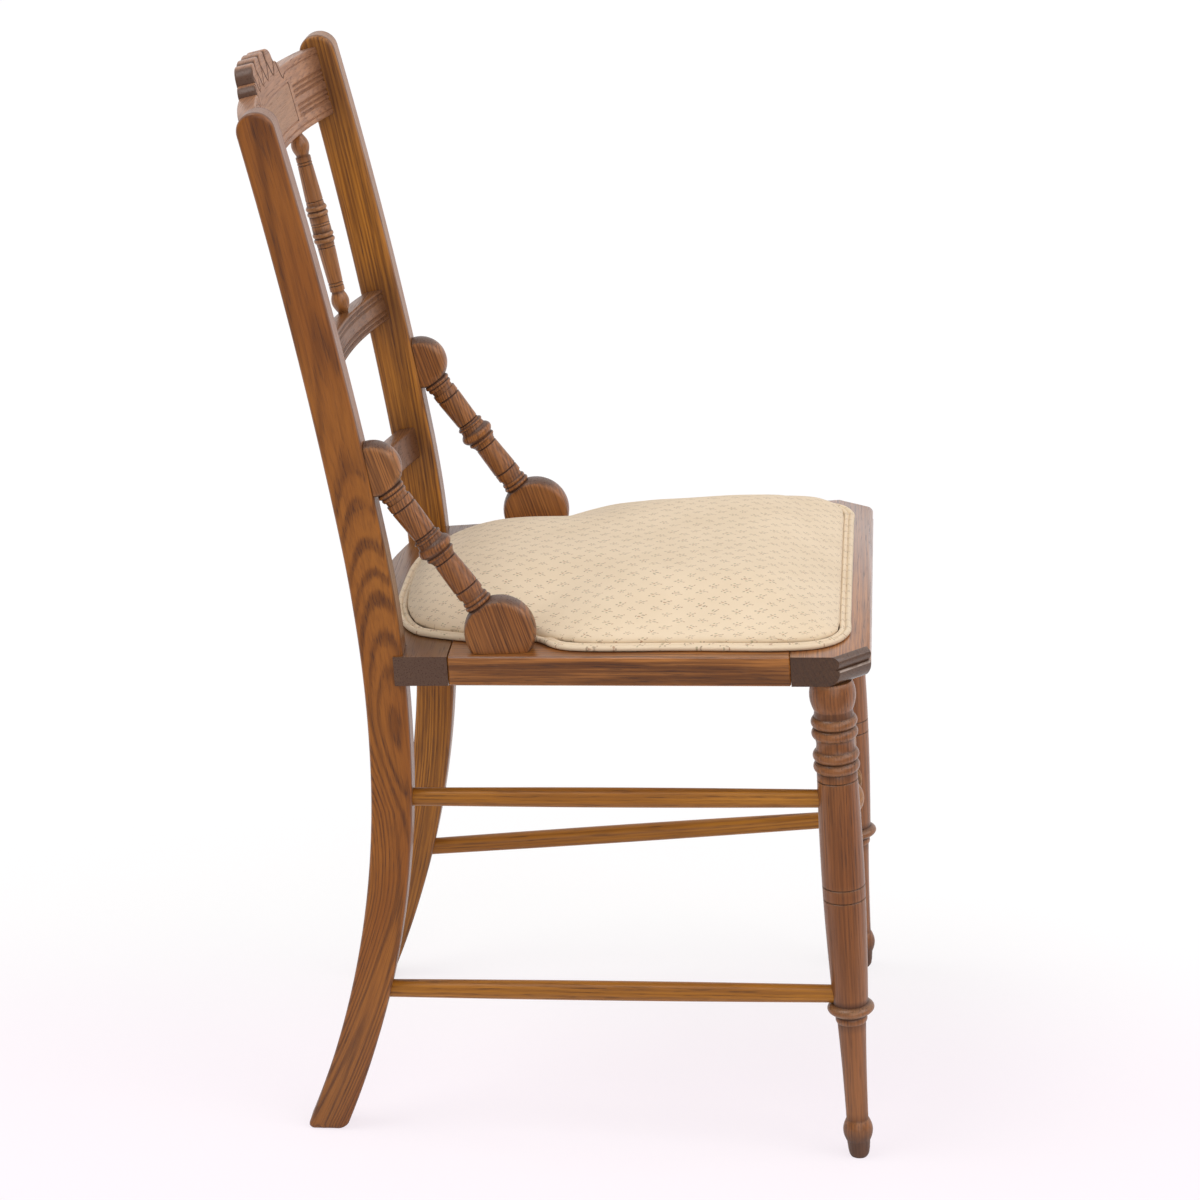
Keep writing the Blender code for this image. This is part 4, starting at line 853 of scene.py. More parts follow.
class Lathe(NodeMaker):
    """Turns a line of centres with radii into a turned solid."""

    def __init__(self) -> None:
        """Build the tree."""
        super().__init__("turned_piece", {"Facets": "Int", "Finish": "Material"})
        radius = self.shape("InputNamedAttribute", {"Name": "turn_radius"}, data_type="FLOAT")
        centres = self.shape("MeshToCurve", {"Mesh": self.given["Line"]})
        ring = self.shape("CurvePrimitiveCircle", {"Resolution": self.given["Facets"], "Radius": 1.0})
        self.end(self.shape("CurveToMesh", {"Curve": centres, "Profile Curve": ring, "Scale": radius,
                                            "Fill Caps": True}))

    def turn(self, name: str, profile: Profile, material: Material, facets: int) -> Piece:
        """Turn a piece on its own Z axis, mark its grooves with grime and painted shade, and its proud rings
        as worn.

        Args:
            name: The piece's name.
            profile: Height and radius, point by point.
            material: Its finish.
            facets: Sides of the turning.

        Returns:
            The piece, in its own frame.
        """
        heights, radii = np.array(profile, float).T
        for i in range(1, len(heights)):
            heights[i] = max(heights[i], heights[i - 1] + 1.2e-5)
        centres = np.column_stack([np.zeros((len(heights), 2)), heights])
        mesh = draw_mesh(name, centres, [(i, i + 1) for i in range(len(heights) - 1)])
        write(mesh, "turn_radius", radii)
        piece = self.run(link(name, mesh), {"Facets": facets, "Finish": material})
        settle(open_shape(piece.data), piece.data)
        walk = np.arange(heights[0], heights[-1], 0.0002)
        surface = np.interp(walk, heights, radii)
        window = np.hanning(41)
        level = np.convolve(np.pad(surface, 20, mode="edge"), window / window.sum(), "valid")
        proud = np.interp(points_of(piece.data)[:, 2], walk, surface - level) / 0.0006
        # Grooves: grime and painted shade. Proud rings: wear.
        write(piece.data, "grime_and_shade", np.clip(-proud, 0.0, 1.0))
        write(piece.data, "wear_and_glint", np.clip(proud, 0.0, 1.0))
        return piece


class WeltMaker(NodeMaker):
    """Lays two cords along a closed path, with a row of stitches between them."""

    def __init__(self) -> None:
        """Build the tree."""
        super().__init__("double_welt", {
            "Cord radius": "Float", "Facets": "Int", "Stitch pitch": "Float", "Stitch radius": "Float",
            "Stitch length": "Float", "Finish": "Material"})
        given = self.given
        row = self.shape("InputNamedAttribute", {"Name": "stitch_row"}, data_type="BOOLEAN")
        cord = self.add("FunctionNodeBooleanMath", {0: row}, operation="NOT").outputs[0]
        cords, seam = (self.shape("MeshToCurve", {"Mesh": given["Line"], "Selection": chosen})
                       for chosen in (cord, row))
        ring = self.shape("CurvePrimitiveCircle", {
            "Resolution": given["Facets"], "Radius": given["Cord radius"]})
        tubes = self.shape("CurveToMesh", {"Curve": cords, "Profile Curve": ring})
        places = self.add("GeometryNodeCurveToPoints", {"Curve": seam, "Length": given["Stitch pitch"]},
                          mode="LENGTH").outputs
        thread = self.shape("MeshUVSphere", {"Segments": 6, "Rings": 5, "Radius": given["Stitch radius"]})
        share = self.math("DIVIDE", given["Stitch length"], given["Stitch radius"])
        scale = self.add("ShaderNodeCombineXYZ", {0: 1.0, 1: 1.0, 2: share}).outputs[0]
        stitches = self.shape("InstanceOnPoints", {
            "Points": places["Points"], "Instance": thread, "Rotation": places["Rotation"], "Scale": scale})
        both = self.add("GeometryNodeJoinGeometry")
        for part in (stitches, tubes):
            self.feed(both, {0: part})
        self.end(both.outputs[0])


# Lines of the chair

@dataclass(frozen=True)
class ChairLines:
    """The lines that the sub-assemblies share: the posts' sweep and the seat's frame."""

    post_height: float = 0.900
    post_thickness: float = 0.0274
    spread_foot: float = 0.1725
    spread_top: float = 0.1860
    waist_z: float = 0.335
    waist_y: float = 0.156
    foot_radius: float = 0.870
    lumbar_radius: float = 1.200
    lumbar_top_z: float = 0.540
    back_radius: float = 4.500
    widest_z: float = 0.480
    seat_width: float = 0.0364
    foot_width: float = 0.0318
    top_width: float = 0.0314
    seat_rear_top: float = 0.4417
    seat_tilt: float = 0.0486
    seat_depth: float = 0.3882
    half_rear: float = 0.181
    half_front: float = 0.2185
    rail_thickness: float = 0.0255
    corner_along_side: float = 0.0255
    corner_along_front: float = 0.0240
    leg_x: float = 0.1985
    leg_setback: float = 0.0330
    leg_forward: float = 0.0272

    def post_line(self, z: float) -> Tuple[float, float]:
        """Centre line of a post in side view.

        Args:
            z: A height.

        Returns:
            Y there, and the lean from upright.
        """
        if z < self.waist_z:
            lean = math.asin((z - self.waist_z) / self.foot_radius)
            return self.waist_y + self.foot_radius * (1 - math.cos(lean)), lean
        lean = math.asin((min(z, self.lumbar_top_z) - self.waist_z) / self.lumbar_radius)
        y = self.waist_y + self.lumbar_radius * (1 - math.cos(lean))
        if z <= self.lumbar_top_z:
            return y, lean
        upper = math.asin(math.sin(lean) + (z - self.lumbar_top_z) / self.back_radius)
        return y + self.back_radius * (math.cos(lean) - math.cos(upper)), upper

    def post_width(self, z: float) -> float:
        """Width of a post square to its centre line."""
        end, span = (self.foot_width, self.widest_z) if z < self.widest_z else (
            self.top_width, self.post_height - self.widest_z)
        return self.seat_width + (end - self.seat_width) * abs(z - self.widest_z) / span

    def post_outer(self, z: Number) -> Number:
        """Distance of a post's outer face from the middle plane."""
        return self.spread_foot + (self.spread_top - self.spread_foot) * z / self.post_height

    def post_inner(self, z: Number) -> Number:
        """Distance of a post's inner face from the middle plane."""
        return self.post_outer(z) - self.post_thickness

    def post_middle(self, z: Number) -> Number:
        """Distance of the middle of a post's thickness from the middle plane."""
        return self.post_outer(z) - self.post_thickness / 2

    def post_front(self, z: float) -> float:
        """Y of a post's front edge."""
        y, lean = self.post_line(z)
        return y - self.post_width(z) / 2 / math.cos(lean)

    def seat(self) -> Matrix:
        """Frame of the seat: origin on its top at the posts, Y to the back, Z square to the seat."""
        y = self.post_front(self.seat_rear_top - self.rail_thickness / 2)
        return Matrix.Translation((0.0, y, self.seat_rear_top)) @ Matrix.Rotation(-self.seat_tilt, 4, "X")

    def side_edge(self, y: float) -> float:
        """Half width of the seat frame at a place along it."""
        straight = self.seat_depth - self.corner_along_side
        return self.half_rear + (self.half_front - self.half_rear) * -y / straight

    def leg_top(self, side: Side) -> Vector:
        """Point of a front leg's axis on the underside of the seat."""
        return self.seat() @ Vector((side.value * self.leg_x, -self.seat_depth + self.leg_setback,
                                     -self.rail_thickness))

    def leg_axis(self, side: Side, z: float) -> Vector:
        """Point of a front leg's axis at a height."""
        top = self.leg_top(side)
        return Vector((top.x, top.y - self.leg_forward * (top.z - z) / top.z, z))


class Turning:
    """A lathe profile, cut feature by feature from one end of the blank to the other."""

    def __init__(self, start: float, radius: float) -> None:
        """Begin at a height with a radius."""
        self.points: Profile = [(start, radius)]

    @property
    def height(self) -> float:
        """Where the profile has got to."""
        return self.points[-1][0]

    @property
    def radius(self) -> float:
        """The present radius."""
        return self.points[-1][1]

    def run(self, length: float, radius: Optional[float] = None) -> "Turning":
        """Straight stretch, or one that tapers to a radius."""
        self.points.append((self.height + length, self.radius if radius is None else radius))
        return self

    def step(self, radius: float) -> "Turning":
        """Square shoulder to a new radius."""
        return self.run(0.0, radius)

    def bulge(self, length: float, end: float, rise: float, steps: int = 14, power: float = 1.0) -> "Turning":
        """Rounded stretch that stands above, or below, the line between its two end radii.

        Args:
            length: How long it is.
            end: The radius at its end.
            rise: How far the middle stands off the line.
            steps: Points along it.
            power: Below 1 for a fuller round.

        Returns:
            The profile.
        """
        height, old = self.points[-1]
        for i in range(1, steps + 1):
            share = i / steps
            swell = rise * max(0.0, math.sin(math.pi * share)) ** power
            self.points.append((height + length * share, old + (end - old) * share + swell))
        return self

    def bead(self, length: float, peak: float, steps: int = 10) -> "Turning":
        """Half round ring that rises from the present radius and returns."""
        return self.bulge(length, self.radius, peak - self.radius, steps, 0.75)

    def score(self, depth: float = 0.0007, width: float = 0.0013) -> "Turning":
        """Cut a V line into the present radius."""
        radius = self.radius
        return self.run(width / 2, radius - depth).run(width / 2, radius)

    def mirrored(self) -> Profile:
        """The profile followed by its mirror image about its last point."""
        return self.points + [(2 * self.height - h, r) for h, r in reversed(self.points[:-1])]


@dataclass
class Workshop:
    """What every sub-assembly works with: the chair's lines, the lathe, finishes and chance."""

    lines: ChairLines
    lathe: Lathe
    rail_wood: Material
    turned_wood: Dict[WoodFinish, Material]
    draw: random.Random

    def turned(self, node: str, profile: Profile, place: Matrix, finish: WoodFinish,
               stripe: Stripe = Stripe.QUARTER, facets: int = 48,
               trim: Optional[Callable[[Piece], None]] = None, run_out: float = 0.0) -> Piece:
        """Turn a piece, place it, cut it to fit and hand it over.

        Args:
            node: The solid that it stands for.
            profile: Height and radius along its axis.
            place: Where the axis stands.
            finish: The wood.
            stripe: How its rings lie.
            facets: Sides of the turning.
            trim: Cuts the placed piece where it meets others.
            run_out: Angle in the side view between the grain and the axis.

        Returns:
            The piece.
        """
        material = self.turned_wood[finish]
        piece = self.lathe.turn(f"{node}_wood", profile, material, facets)
        piece.data.transform(place)
        if trim:
            trim(piece)
        middle = Matrix.Translation(place @ Vector((0.0, 0.0, profile[-1][0] / 2)))
        grain = middle @ Matrix.Rotation(run_out, 4, "X") @ middle.inverted() @ place
        Timber(grain, stripe, self.draw).mark(piece.data)
        return hand_over(piece, material, finish.slot, node)


@dataclass
class Assembly:
    """A sub-assembly of the chair, which is made in a workshop."""

    workshop: Workshop

    @property
    def lines(self) -> ChairLines:
        """The chair's lines."""
        return self.workshop.lines


# Back

def found(source: Array, wanted: Array) -> Array:
    """Find points again, to a hundredth of a millimetre.

    Args:
        source: Where they are looked for.
        wanted: The points.

    Returns:
        For each wanted point, its place in source.
    """
    kept, keys = (map(tuple, np.round(points * 1e5).astype(int).tolist()) for points in (source, wanted))
    table = {key: i for i, key in enumerate(kept)}
    return np.array([table.get(key, 0) for key in keys])


@dataclass
class BackRail:
    """A bowed rail between the posts, in its own frame: X across, Y to the back, Z up along the post."""

    node: str
    lines: ChairLines
    z: float
    height: float
    thickness: float
    face: float
    bow: float = 0.0195
    arris: float = 0.0018
    arris_points: int = 5
    # Painted shade: its width at the posts, and the depth of cut at which it is full, with grime, in the
    # pressed work.
    joint_shade: float = 0.045
    full_grime_and_shade: float = 0.0016

    def __post_init__(self) -> None:
        """Stand the rail's frame on the posts' line."""
        y, self.lean = self.lines.post_line(self.z)
        self.frame = Matrix.Translation((0.0, y, self.z)) @ Matrix.Rotation(-self.lean, 4, "X")
        self.half = self.lines.post_inner(self.z)

    def bowed(self, x: Array, back: Array, up: Array) -> Array:
        """Points of the unbent rail, bent and placed.

        Args:
            x: Across.
            back: Behind the post's centre line.
            up: Above the rail's middle.

        Returns:
            World points.
        """
        radius = (self.half ** 2 + self.bow ** 2) / (2 * self.bow)
        bend = np.sqrt(radius ** 2 - x ** 2) - (radius - self.bow)
        local = np.stack([x, back + bend * math.cos(self.lean), up + bend * math.sin(self.lean)], -1)
        return carried(local, self.frame)

    def edge_point(self, x: float, depth: float, up: float) -> Vector:
        """World point of the rail at a depth behind its front face."""
        return Vector(self.bowed(np.array(x), np.array(self.face + depth), np.array(up)))

    def section(self, top: float, front: Array, relief: Array) -> Array:
        """Closed section of the rail at one place.

        Args:
            top: Height of its top edge above the rail's middle.
            front: Heights of the points on its face.
            relief: How deep each of them is cut.

        Returns:
            Depth and height of its points.
        """
        arc = np.linspace(0.0, math.pi / 2, self.arris_points)
        r, bottom, thick = self.arris, -self.height / 2, self.thickness
        sine, cosine = r * np.sin(arc), r * np.cos(arc)
        rows = np.linspace(top - r, bottom + r, 12)[1:-1]
        stretches = ((r - sine, bottom + r - cosine), (relief, front),
                     (relief[-1] + r - cosine, top - r + sine), (thick - r + sine, top - r + cosine),
                     (np.full_like(rows, thick), rows), (thick - r + cosine, bottom + r - sine))
        return np.vstack([np.stack(stretch, 1) for stretch in stretches])

    def make(self, columns: Array, rows: Callable[[float], Array], relief: Callable, top: Callable,
             workshop: Workshop, stippled: Optional[Callable] = None) -> Piece:
        """Skin the rail, mark its wood and hand it over.

        Args:
            columns: Places across, from 0 to the shoulder.
            rows: Heights of the face's points at a place across.
            relief: Depth of cut at places across and heights.
            top: Height of the top edge at a place across.
            workshop: Finishes and chance.
            stippled: Which part of the face is punched, if any is.

        Returns:
            The piece.
        """
        rings, cuts, dots = [], [], []
        for x in np.concatenate([-columns[:0:-1], columns]):
            front = rows(abs(x))
            across = np.full_like(front, x)
            depth = relief(across, front)
            profile = self.section(top(abs(x)), front, depth)
            back, up = self.face + profile[:, 0], profile[:, 1]
            place = np.full(len(profile), x)
            if abs(x) == columns[-1]:
                z = self.z + up * math.cos(self.lean) - back * math.sin(self.lean)
                place = np.copysign(self.lines.post_inner(z) - TOUCH_GAP, x)
            rings.append(self.bowed(place, back, up))
            face = (self.arris_points, len(profile) - self.arris_points - len(front))
            cuts.append(np.pad(depth, face))
            dots.append(np.pad(stippled(across, front) if stippled else depth * 0, face))
        piece = skin(f"{self.node}_wood", np.array(rings))
        points = points_of(piece.data)
        order = found(np.array(rings).reshape(-1, 3), points)
        # Painted shade towards the posts, and grime with painted shade in the pressed cuts.
        post_shade = ease((np.abs(points[:, 0]) - self.half + self.joint_shade) / self.joint_shade)
        grime_and_shade_mask = np.clip(np.concatenate(cuts)[order] / self.full_grime_and_shade, 0.0, 1.0) * 0.66
        write(piece.data, "grime_and_shade", np.maximum(grime_and_shade_mask, post_shade * 0.75))
        write(piece.data, "stipple", np.concatenate(dots)[order])
        grain = self.frame @ Matrix.Rotation(QUARTER_TURN, 4, "Y")
        Timber(grain, Stripe.QUARTER, workshop.draw, end_from=0.16).mark(piece.data)
        material = PRESSED_OAK.material(stippled=True) if stippled else workshop.rail_wood
        return hand_over(piece, material, BROWN_OAK.slot, self.node)


@dataclass
class BackPosts(Assembly):
    """The two sabre posts, sawn with rounded arrises."""

    arris: float = 0.0036
    flat_columns: int = 9
    foot_round: float = 0.0060
    foot_cuts: Tuple[float, ...] = (0.12, 0.30, 0.55, 1.0)
    grain_follows: float = 0.86
    foot_slant: float = 0.16
    slant_z: float = 0.30
    arch_z: float = 0.500
    arch_length: float = 0.120
    arch_depth: float = 0.016

    def outline(self, inset: float) -> Array:
        """Side view of a post.

        Args:
            inset: How far the outline is drawn in.

        Returns:
            Y and Z of its points, up the front, over the top and down the back.
        """
        lines = self.lines
        round_z = lines.post_height - lines.top_width / 2
        front, back = [], []
        for z in np.linspace(-lines.foot_width, round_z, 150):
            y, lean = lines.post_line(z)
            reach = lines.post_width(z) / 2 - inset
            front.append((y - math.cos(lean) * reach, z + math.sin(lean) * reach))
            back.append((y + math.cos(lean) * reach, z - math.sin(lean) * reach))
        top = [(y - reach * math.cos(t + lean), round_z + reach * math.sin(t + lean))
               for t in np.linspace(0.0, math.pi, 26)[1:-1]]
        return np.array(front + top + back[::-1])

    def grain(self, side: Side, local: Array) -> Array:
        """Run of the grain in a post: along its sweep, with nested arches where the sweep cuts across it.

        Args:
            side: Which post.
            local: Points in the solids' own frame.

        Returns:
            Places in the timber, whose Z is the grain.
        """
        lines, z = self.lines, local[:, 2]
        sweep = np.array([lines.post_line(v)[0] for v in z])
        across = local[:, 1] - sweep * self.grain_follows - lines.waist_y * (1 - self.grain_follows)
        off = side.value * local[:, 0] - lines.post_middle(z)
        if side is Side.LEFT:
            return np.column_stack([off + 0.030 + 0.010 * z, across + 0.034 - 0.012 * z, z + 3.1])
        arches = self.arch_depth * np.tanh((z - self.arch_z) / self.arch_length)
        low = ease((0.40 - z) / 0.20)
        slant = self.foot_slant * np.minimum(z - self.slant_z, 0.0)
        aside = across + 0.013 - 0.020 * z + 0.016 * low + slant
        places = np.column_stack([off + 0.016 + arches + 0.016 * z, aside]) * (1.0 + 1.1 * low)[:, None]
        return np.column_stack([places, z + 6.4])

    def drawn(self, side: Side) -> Piece:
        """A post that runs on below the floor.

        Args:
            side: Which post.

        Returns:
            The post, of a rounded edge and two flat sides.
        """
        r = self.arris
        arc = np.linspace(0.0, math.pi / 2, 6)
        insets = np.append(r - r * np.sin(arc), 0.0)
        depths = np.append(r - r * np.cos(arc), r * 1.6)
        insets = np.concatenate([insets, insets[::-1]])
        depths = np.concatenate([depths, self.lines.post_thickness - depths[::-1]])[::-1]
        rings = []
        for inset, depth in zip(insets, depths):
            outline = self.outline(inset)
            x = side.value * (self.lines.post_outer(outline[:, 1]) - depth)
            rings.append(np.column_stack([x, outline]))
        grids, half = [np.array(rings)], len(rings[0]) // 2
        for ring in (rings[0], rings[-1]):
            front, back = ring[:half], ring[:half - 1:-1]
            grids.append(np.array([front * (1 - share) + back * share
                                   for share in np.linspace(0.0, 1.0, self.flat_columns)]))
        points, faces = np.empty((0, 3)), []
        for grid in grids:
            faces += quads(numbered(grid, len(points)))
            points = np.vstack([points, grid.reshape(-1, 3)])
        return closed_piece(f"back_post_{side.word}_wood", points, faces)

    def round_foot(self, piece: Piece, side: Side) -> None:
        """Round the arrises that a post stands on.

        Args:
            piece: The post, cut level at the floor.
            side: Which post.
        """
        lines, r = self.lines, self.foot_round
        shape = open_shape(piece.data)
        for share in self.foot_cuts:
            divide(shape, (0.0, 0.0, r * share), UP)
        for vert in shape.verts:
            z = vert.co.z
            if z < r:
                inset = r - math.sqrt(max(r ** 2 - (r - z) ** 2, 0.0))
                middle = Vector((side.value * lines.post_middle(0.0), lines.post_line(z)[0]))
                vert.co.x += (middle.x - vert.co.x) * inset / lines.post_thickness
                vert.co.y += (middle.y - vert.co.y) * inset / (lines.post_width(z) * 0.5)
        settle(shape, piece.data)

    def build(self, side: Side, rails: Sequence[BackRail]) -> Piece:
        """Make a post, cut level at the floor, with painted shade where rails meet it.

        Args:
            side: Which post.
            rails: The rails.

        Returns:
            The piece.
        """
        r = self.arris
        piece = self.drawn(side)
        slice_off(piece, Vector(), -UP)
        self.round_foot(piece, side)
        x, _, z = points_of(piece.data).T
        inside = np.abs(x) - self.lines.post_inner(z)
        off_face = np.minimum(self.lines.post_outer(z) - np.abs(x), inside)
        write(piece.data, "wear_and_glint", ease((off_face - r * 0.30) / (r * 0.3)))
        # A dark line painted along each arris, darker towards the foot, and painted shade on the inner face
        # where rails meet it.
        shade = [np.exp(-((z - rail.z) / (rail.height * 0.7 + 0.012)) ** 2) for rail in rails]
        write(piece.data, "grime_and_shade", hump((off_face - r * 0.95) / (r * 0.55)) * 0.85
              + ease((0.20 - z) / 0.24) * 0.45 + (inside < 2 * TOUCH_GAP) * np.max(shade, 0) * 0.7)
        Timber(Matrix(), Stripe.FLAT, self.workshop.draw, 0.30,
               bend=lambda local: self.grain(side, local)).mark(piece.data)
        return hand_over(piece, SAWN_OAK[side].material(), BROWN_OAK.slot, f"back_post_{side.word}")


@dataclass
class BackFrame(Assembly):
    """Back posts, the three bowed rails and the turned spindles."""

    crest_from_top: float = 0.0395
    crest_height: float = 0.0615
    crest_thickness: float = 0.0165
    crest_face: float = -0.0005
    mid_z: float = 0.657297
    mid_height: float = 0.0287
    mid_face: float = -0.003
    lower_z: float = 0.5292
    lower_height: float = 0.0285
    lower_face: float = -0.005
    rail_thickness: float = 0.016
    reed_depth: float = 0.0015
    reed_half_width: float = 0.0019
    reed_pitch: float = 0.0044
    reed_start: float = 0.080
    reed_ramp: float = 0.0025
    reed_groups: Tuple[float, ...] = (-0.0127, 0.0047)
    mid_reed_edge: float = 0.0040
    lobes: int = 4
    crown_from: float = 0.0180
    crown_half: float = 0.048
    crown_rise: float = 0.0185
    crown_spring: float = 0.0090
    lobe_rise: float = 0.0045
    flute_depth: float = 0.0032
    shoulder_half: float = 0.0595
    shoulder_rise: float = 0.0080
    shoulder_drop: float = 0.0030
    line_depth: float = 0.0008
    line_half_width: float = 0.0010
    panel_half: float = 0.072
    panel_low: float = -0.0190
    panel_high: float = 0.0148
    border_up: float = -0.0258
    outline_line: Tuple[Tuple[float, float], ...] = (
        (0.170, 0.0245), (0.0725, 0.0245), (0.0660, 0.0228), (0.0625, 0.0205), (0.0595, 0.0222),
        (0.0565, 0.0270), (0.0535, 0.0340), (0.0510, 0.0410), (0.0490, 0.0460))
    petal_tip: float = 0.0285
    petal_length: float = 0.0175
    petal_point: float = 0.62
    petal_line: float = 0.0016
    petal_fade: float = 0.0012
    spindles: Tuple[str, ...] = ("right", "centre", "left")
    spindle_tenon: float = 0.010
    spindle_bead: float = 0.005
    spindle_drum: float = 0.007
    spindle_score: float = 0.0006

    def __post_init__(self) -> None:
        """Stand the rails between the posts."""
        lines, thick = self.lines, self.rail_thickness
        self.crest = BackRail("crest_rail", lines, lines.post_height - self.crest_from_top, self.crest_height,
                              self.crest_thickness, self.crest_face)
        self.mid = BackRail("mid_rail", lines, self.mid_z, self.mid_height, thick, self.mid_face)
        self.lower = BackRail("lower_back_rail", lines, self.lower_z, self.lower_height, thick,
                              self.lower_face)
        self.lobe_pitch = 2 * self.crown_half / self.lobes

    def lobe(self, x: Array) -> Array:
        """Swell of the crown's lobes across it: 0 in a valley, 1 on a crest."""
        across = 2 * np.mod((x + self.crown_half) / self.lobe_pitch, 1.0) - 1
        return np.sqrt(np.maximum(0.0, 1 - across ** 2))

    def crest_top(self, x: float) -> float:
        """Height of the crest's top edge at a distance from the middle.

        Args:
            x: The distance.

        Returns:
            The height above the rail's middle.
        """
        plain = self.crest_height / 2
        if x <= self.crown_half:
            arch = math.sqrt(max(0.0, 1 - (x / self.crown_half) ** 4))
            rise = self.crown_spring + (self.crown_rise - self.crown_spring) * arch
            return plain + rise + self.lobe_rise * float(self.lobe(np.array(x)))
        if x <= self.shoulder_half:
            share = (x - self.crown_half) / (self.shoulder_half - self.crown_half)
            return plain + self.shoulder_rise - (self.shoulder_rise - self.shoulder_drop) * share ** 3
        return plain

    def panel_reach(self, x: Array, up: Array) -> Array:
        """Distance outside the panel's border, negative inside.

        Args:
            x: Across, from the middle.
            up: Above the rail's middle.

        Returns:
            The distance.
        """
        dx = np.abs(x) - self.panel_half
        dy = np.abs(up - (self.panel_low + self.panel_high) / 2) - (self.panel_high - self.panel_low) / 2
        outside = np.hypot(np.maximum(dx, 0.0), np.maximum(dy, 0.0))
        return outside + np.minimum(np.maximum(dx, dy), 0.0)

    def line_reach(self, across: Array, up: Array) -> Array:
        """Distance from the line that follows the crest's outline, from the post round the dip to the crown.

        Args:
            across: Distance from the middle.
            up: Above the rail's middle.

        Returns:
            The distance.
        """
        best = np.full_like(up, 1.0)
        for (x0, y0), (x1, y1) in zip(self.outline_line, self.outline_line[1:]):
            dx, dy = x1 - x0, y1 - y0
            share = np.clip(((across - x0) * dx + (up - y0) * dy) / (dx * dx + dy * dy), 0.0, 1.0)
            best = np.minimum(best, np.hypot(across - x0 - share * dx, up - y0 - share * dy))
        return best

    def reeded(self, up: Array, reeds: Sequence[float]) -> Array:
        """Depth of reeds at some heights."""
        cuts = [self.reed_depth * hump((up - reed) / self.reed_half_width) for reed in reeds]
        return np.max([np.zeros_like(up), *cuts], 0)

    def crest_relief(self, x: Array, up: Array) -> Array:
        """Depth of the crest's pressed work: reeds, panel, border lines, petals and flutes.

        Args:
            x: Across, from the middle.
            up: Above the rail's middle.

        Returns:
            Depth behind the face.
        """
        across, pitch = np.abs(x), self.lobe_pitch
        reeds = [middle + self.reed_pitch * i for middle in self.reed_groups for i in (-1, 0, 1)]
        depth = ease((across - self.reed_start) / self.reed_ramp) * self.reeded(up, reeds)
        for line in (self.panel_reach(x, up), up - self.border_up, self.line_reach(across, up)):
            depth = np.maximum(depth, self.line_depth * hump(line / self.line_half_width))
        off_lobe = np.abs(np.mod(across / pitch, 1.0) - 0.5) * pitch
        rise = up - self.petal_tip
        taper = np.minimum(1.0, np.maximum(rise, 0.0) / self.petal_length) ** self.petal_point
        edge = hump((off_lobe - pitch / 2 * taper) / self.petal_line)
        edge = edge * ease((rise + self.petal_fade) / self.petal_fade)
        flute = self.flute_depth * (1 - self.lobe(x)) ** 1.6 * ease((rise - 0.004) / 0.020)
        crown = np.maximum(self.line_depth * 1.25 * edge, flute)
        return np.maximum(depth, np.where(across < self.crown_half, crown, 0.0))

    def build_crest(self) -> Piece:
        """Crest rail with its pressed ends, panel and lobed crown.

        Returns:
            The piece.
        """
        columns = np.concatenate([spread(0.0, self.shoulder_half + 0.001, 0.00056),
                                  spread(self.shoulder_half + 0.0012, 0.0840, 0.0008),
                                  spread(0.0860, self.crest.half, 0.0022)])
        low = spread(-self.crest_height / 2 + self.crest.arris, self.crown_from, 0.0006)
        share = np.linspace(0.0, 1.0, 57)[1:]

        def rows(x: float) -> Array:
            """Heights of the face's points."""
            crown = self.crest_top(x) - self.crest.arris - self.crown_from
            return np.concatenate([low, self.crown_from + crown * share])

        def punched(x: Array, up: Array) -> Array:
            """Where the panel is stippled."""
            below_petals = ease((self.petal_tip - 0.004 - up) / 0.002)
            return ease(-(self.panel_reach(x, up) + 0.0012) / 0.001) * below_petals

        return self.crest.make(columns, rows, self.crest_relief, self.crest_top, self.workshop, punched)

    def build_plain_rail(self, rail: BackRail, reeds: Sequence[float]) -> Piece:
        """Bowed rail with pressed reeds along its face.

        Args:
            rail: The rail.
            reeds: Heights of the reeds.

        Returns:
            The piece.
        """
        top = rail.height / 2
        front = spread(-top + rail.arris, top - rail.arris, 0.0005)
        return rail.make(spread(0.0, rail.half, 0.005), lambda x: front,
                         lambda x, up: self.reeded(up, reeds), lambda x: top, self.workshop)

    def build_spindle(self, i: int) -> Piece:
        """Turned spindle between the mid rail and the crest.

        Args:
            i: Which spindle, from the right.

        Returns:
            The piece.
        """
        share = 2 * (i + 1) / (len(self.spindles) + 1) - 1
        low = self.mid.edge_point(self.mid.half * share, 0.0098, self.mid.height / 2)
        high = self.crest.edge_point(self.crest.half * share, 0.0072, -self.crest.height / 2)
        half, bead, score = (high - low).length / 2, self.spindle_bead, self.spindle_score
        cut = Turning(-self.spindle_tenon, 0.0045).run(0.0112)
        cut.bulge(0.0178, 0.0056, 0.0079 - 0.00505, 18)
        cut.run(0.0015).step(0.0066).run(0.0042).score(score).run(0.0014).score(score)
        rest = half - cut.height - 2 * bead - self.spindle_drum
        cut.run(rest - 0.0045, 0.0077).score(score).run(0.0032, 0.0078)
        cut.bead(bead, 0.0093).bead(bead, 0.0093)
        cut.step(0.0084).run(0.0052).score(0.0005).run(0.0005)
        return self.workshop.turned(f"back_spindle_{self.spindles[i]}", cut.mirrored(), along(low, high),
                                    SPINDLE_OAK, Stripe.RIFT, 32)

    def build(self) -> List[Piece]:
        """Make every piece of the back.

        Returns:
            The pieces.
        """
        posts = BackPosts(self.workshop)
        pieces = [posts.build(side, (self.crest, self.mid, self.lower)) for side in Side]
        pieces.append(self.build_crest())
        edge = self.mid.height / 2 - self.mid_reed_edge
        reeds = [edge, edge - self.reed_pitch]
        pieces.append(self.build_plain_rail(self.mid, reeds + [-up for up in reeds]))
        pieces.append(self.build_plain_rail(self.lower, ()))
        return pieces + [self.build_spindle(i) for i in range(len(self.spindles))]


# Legs, stretchers and braces

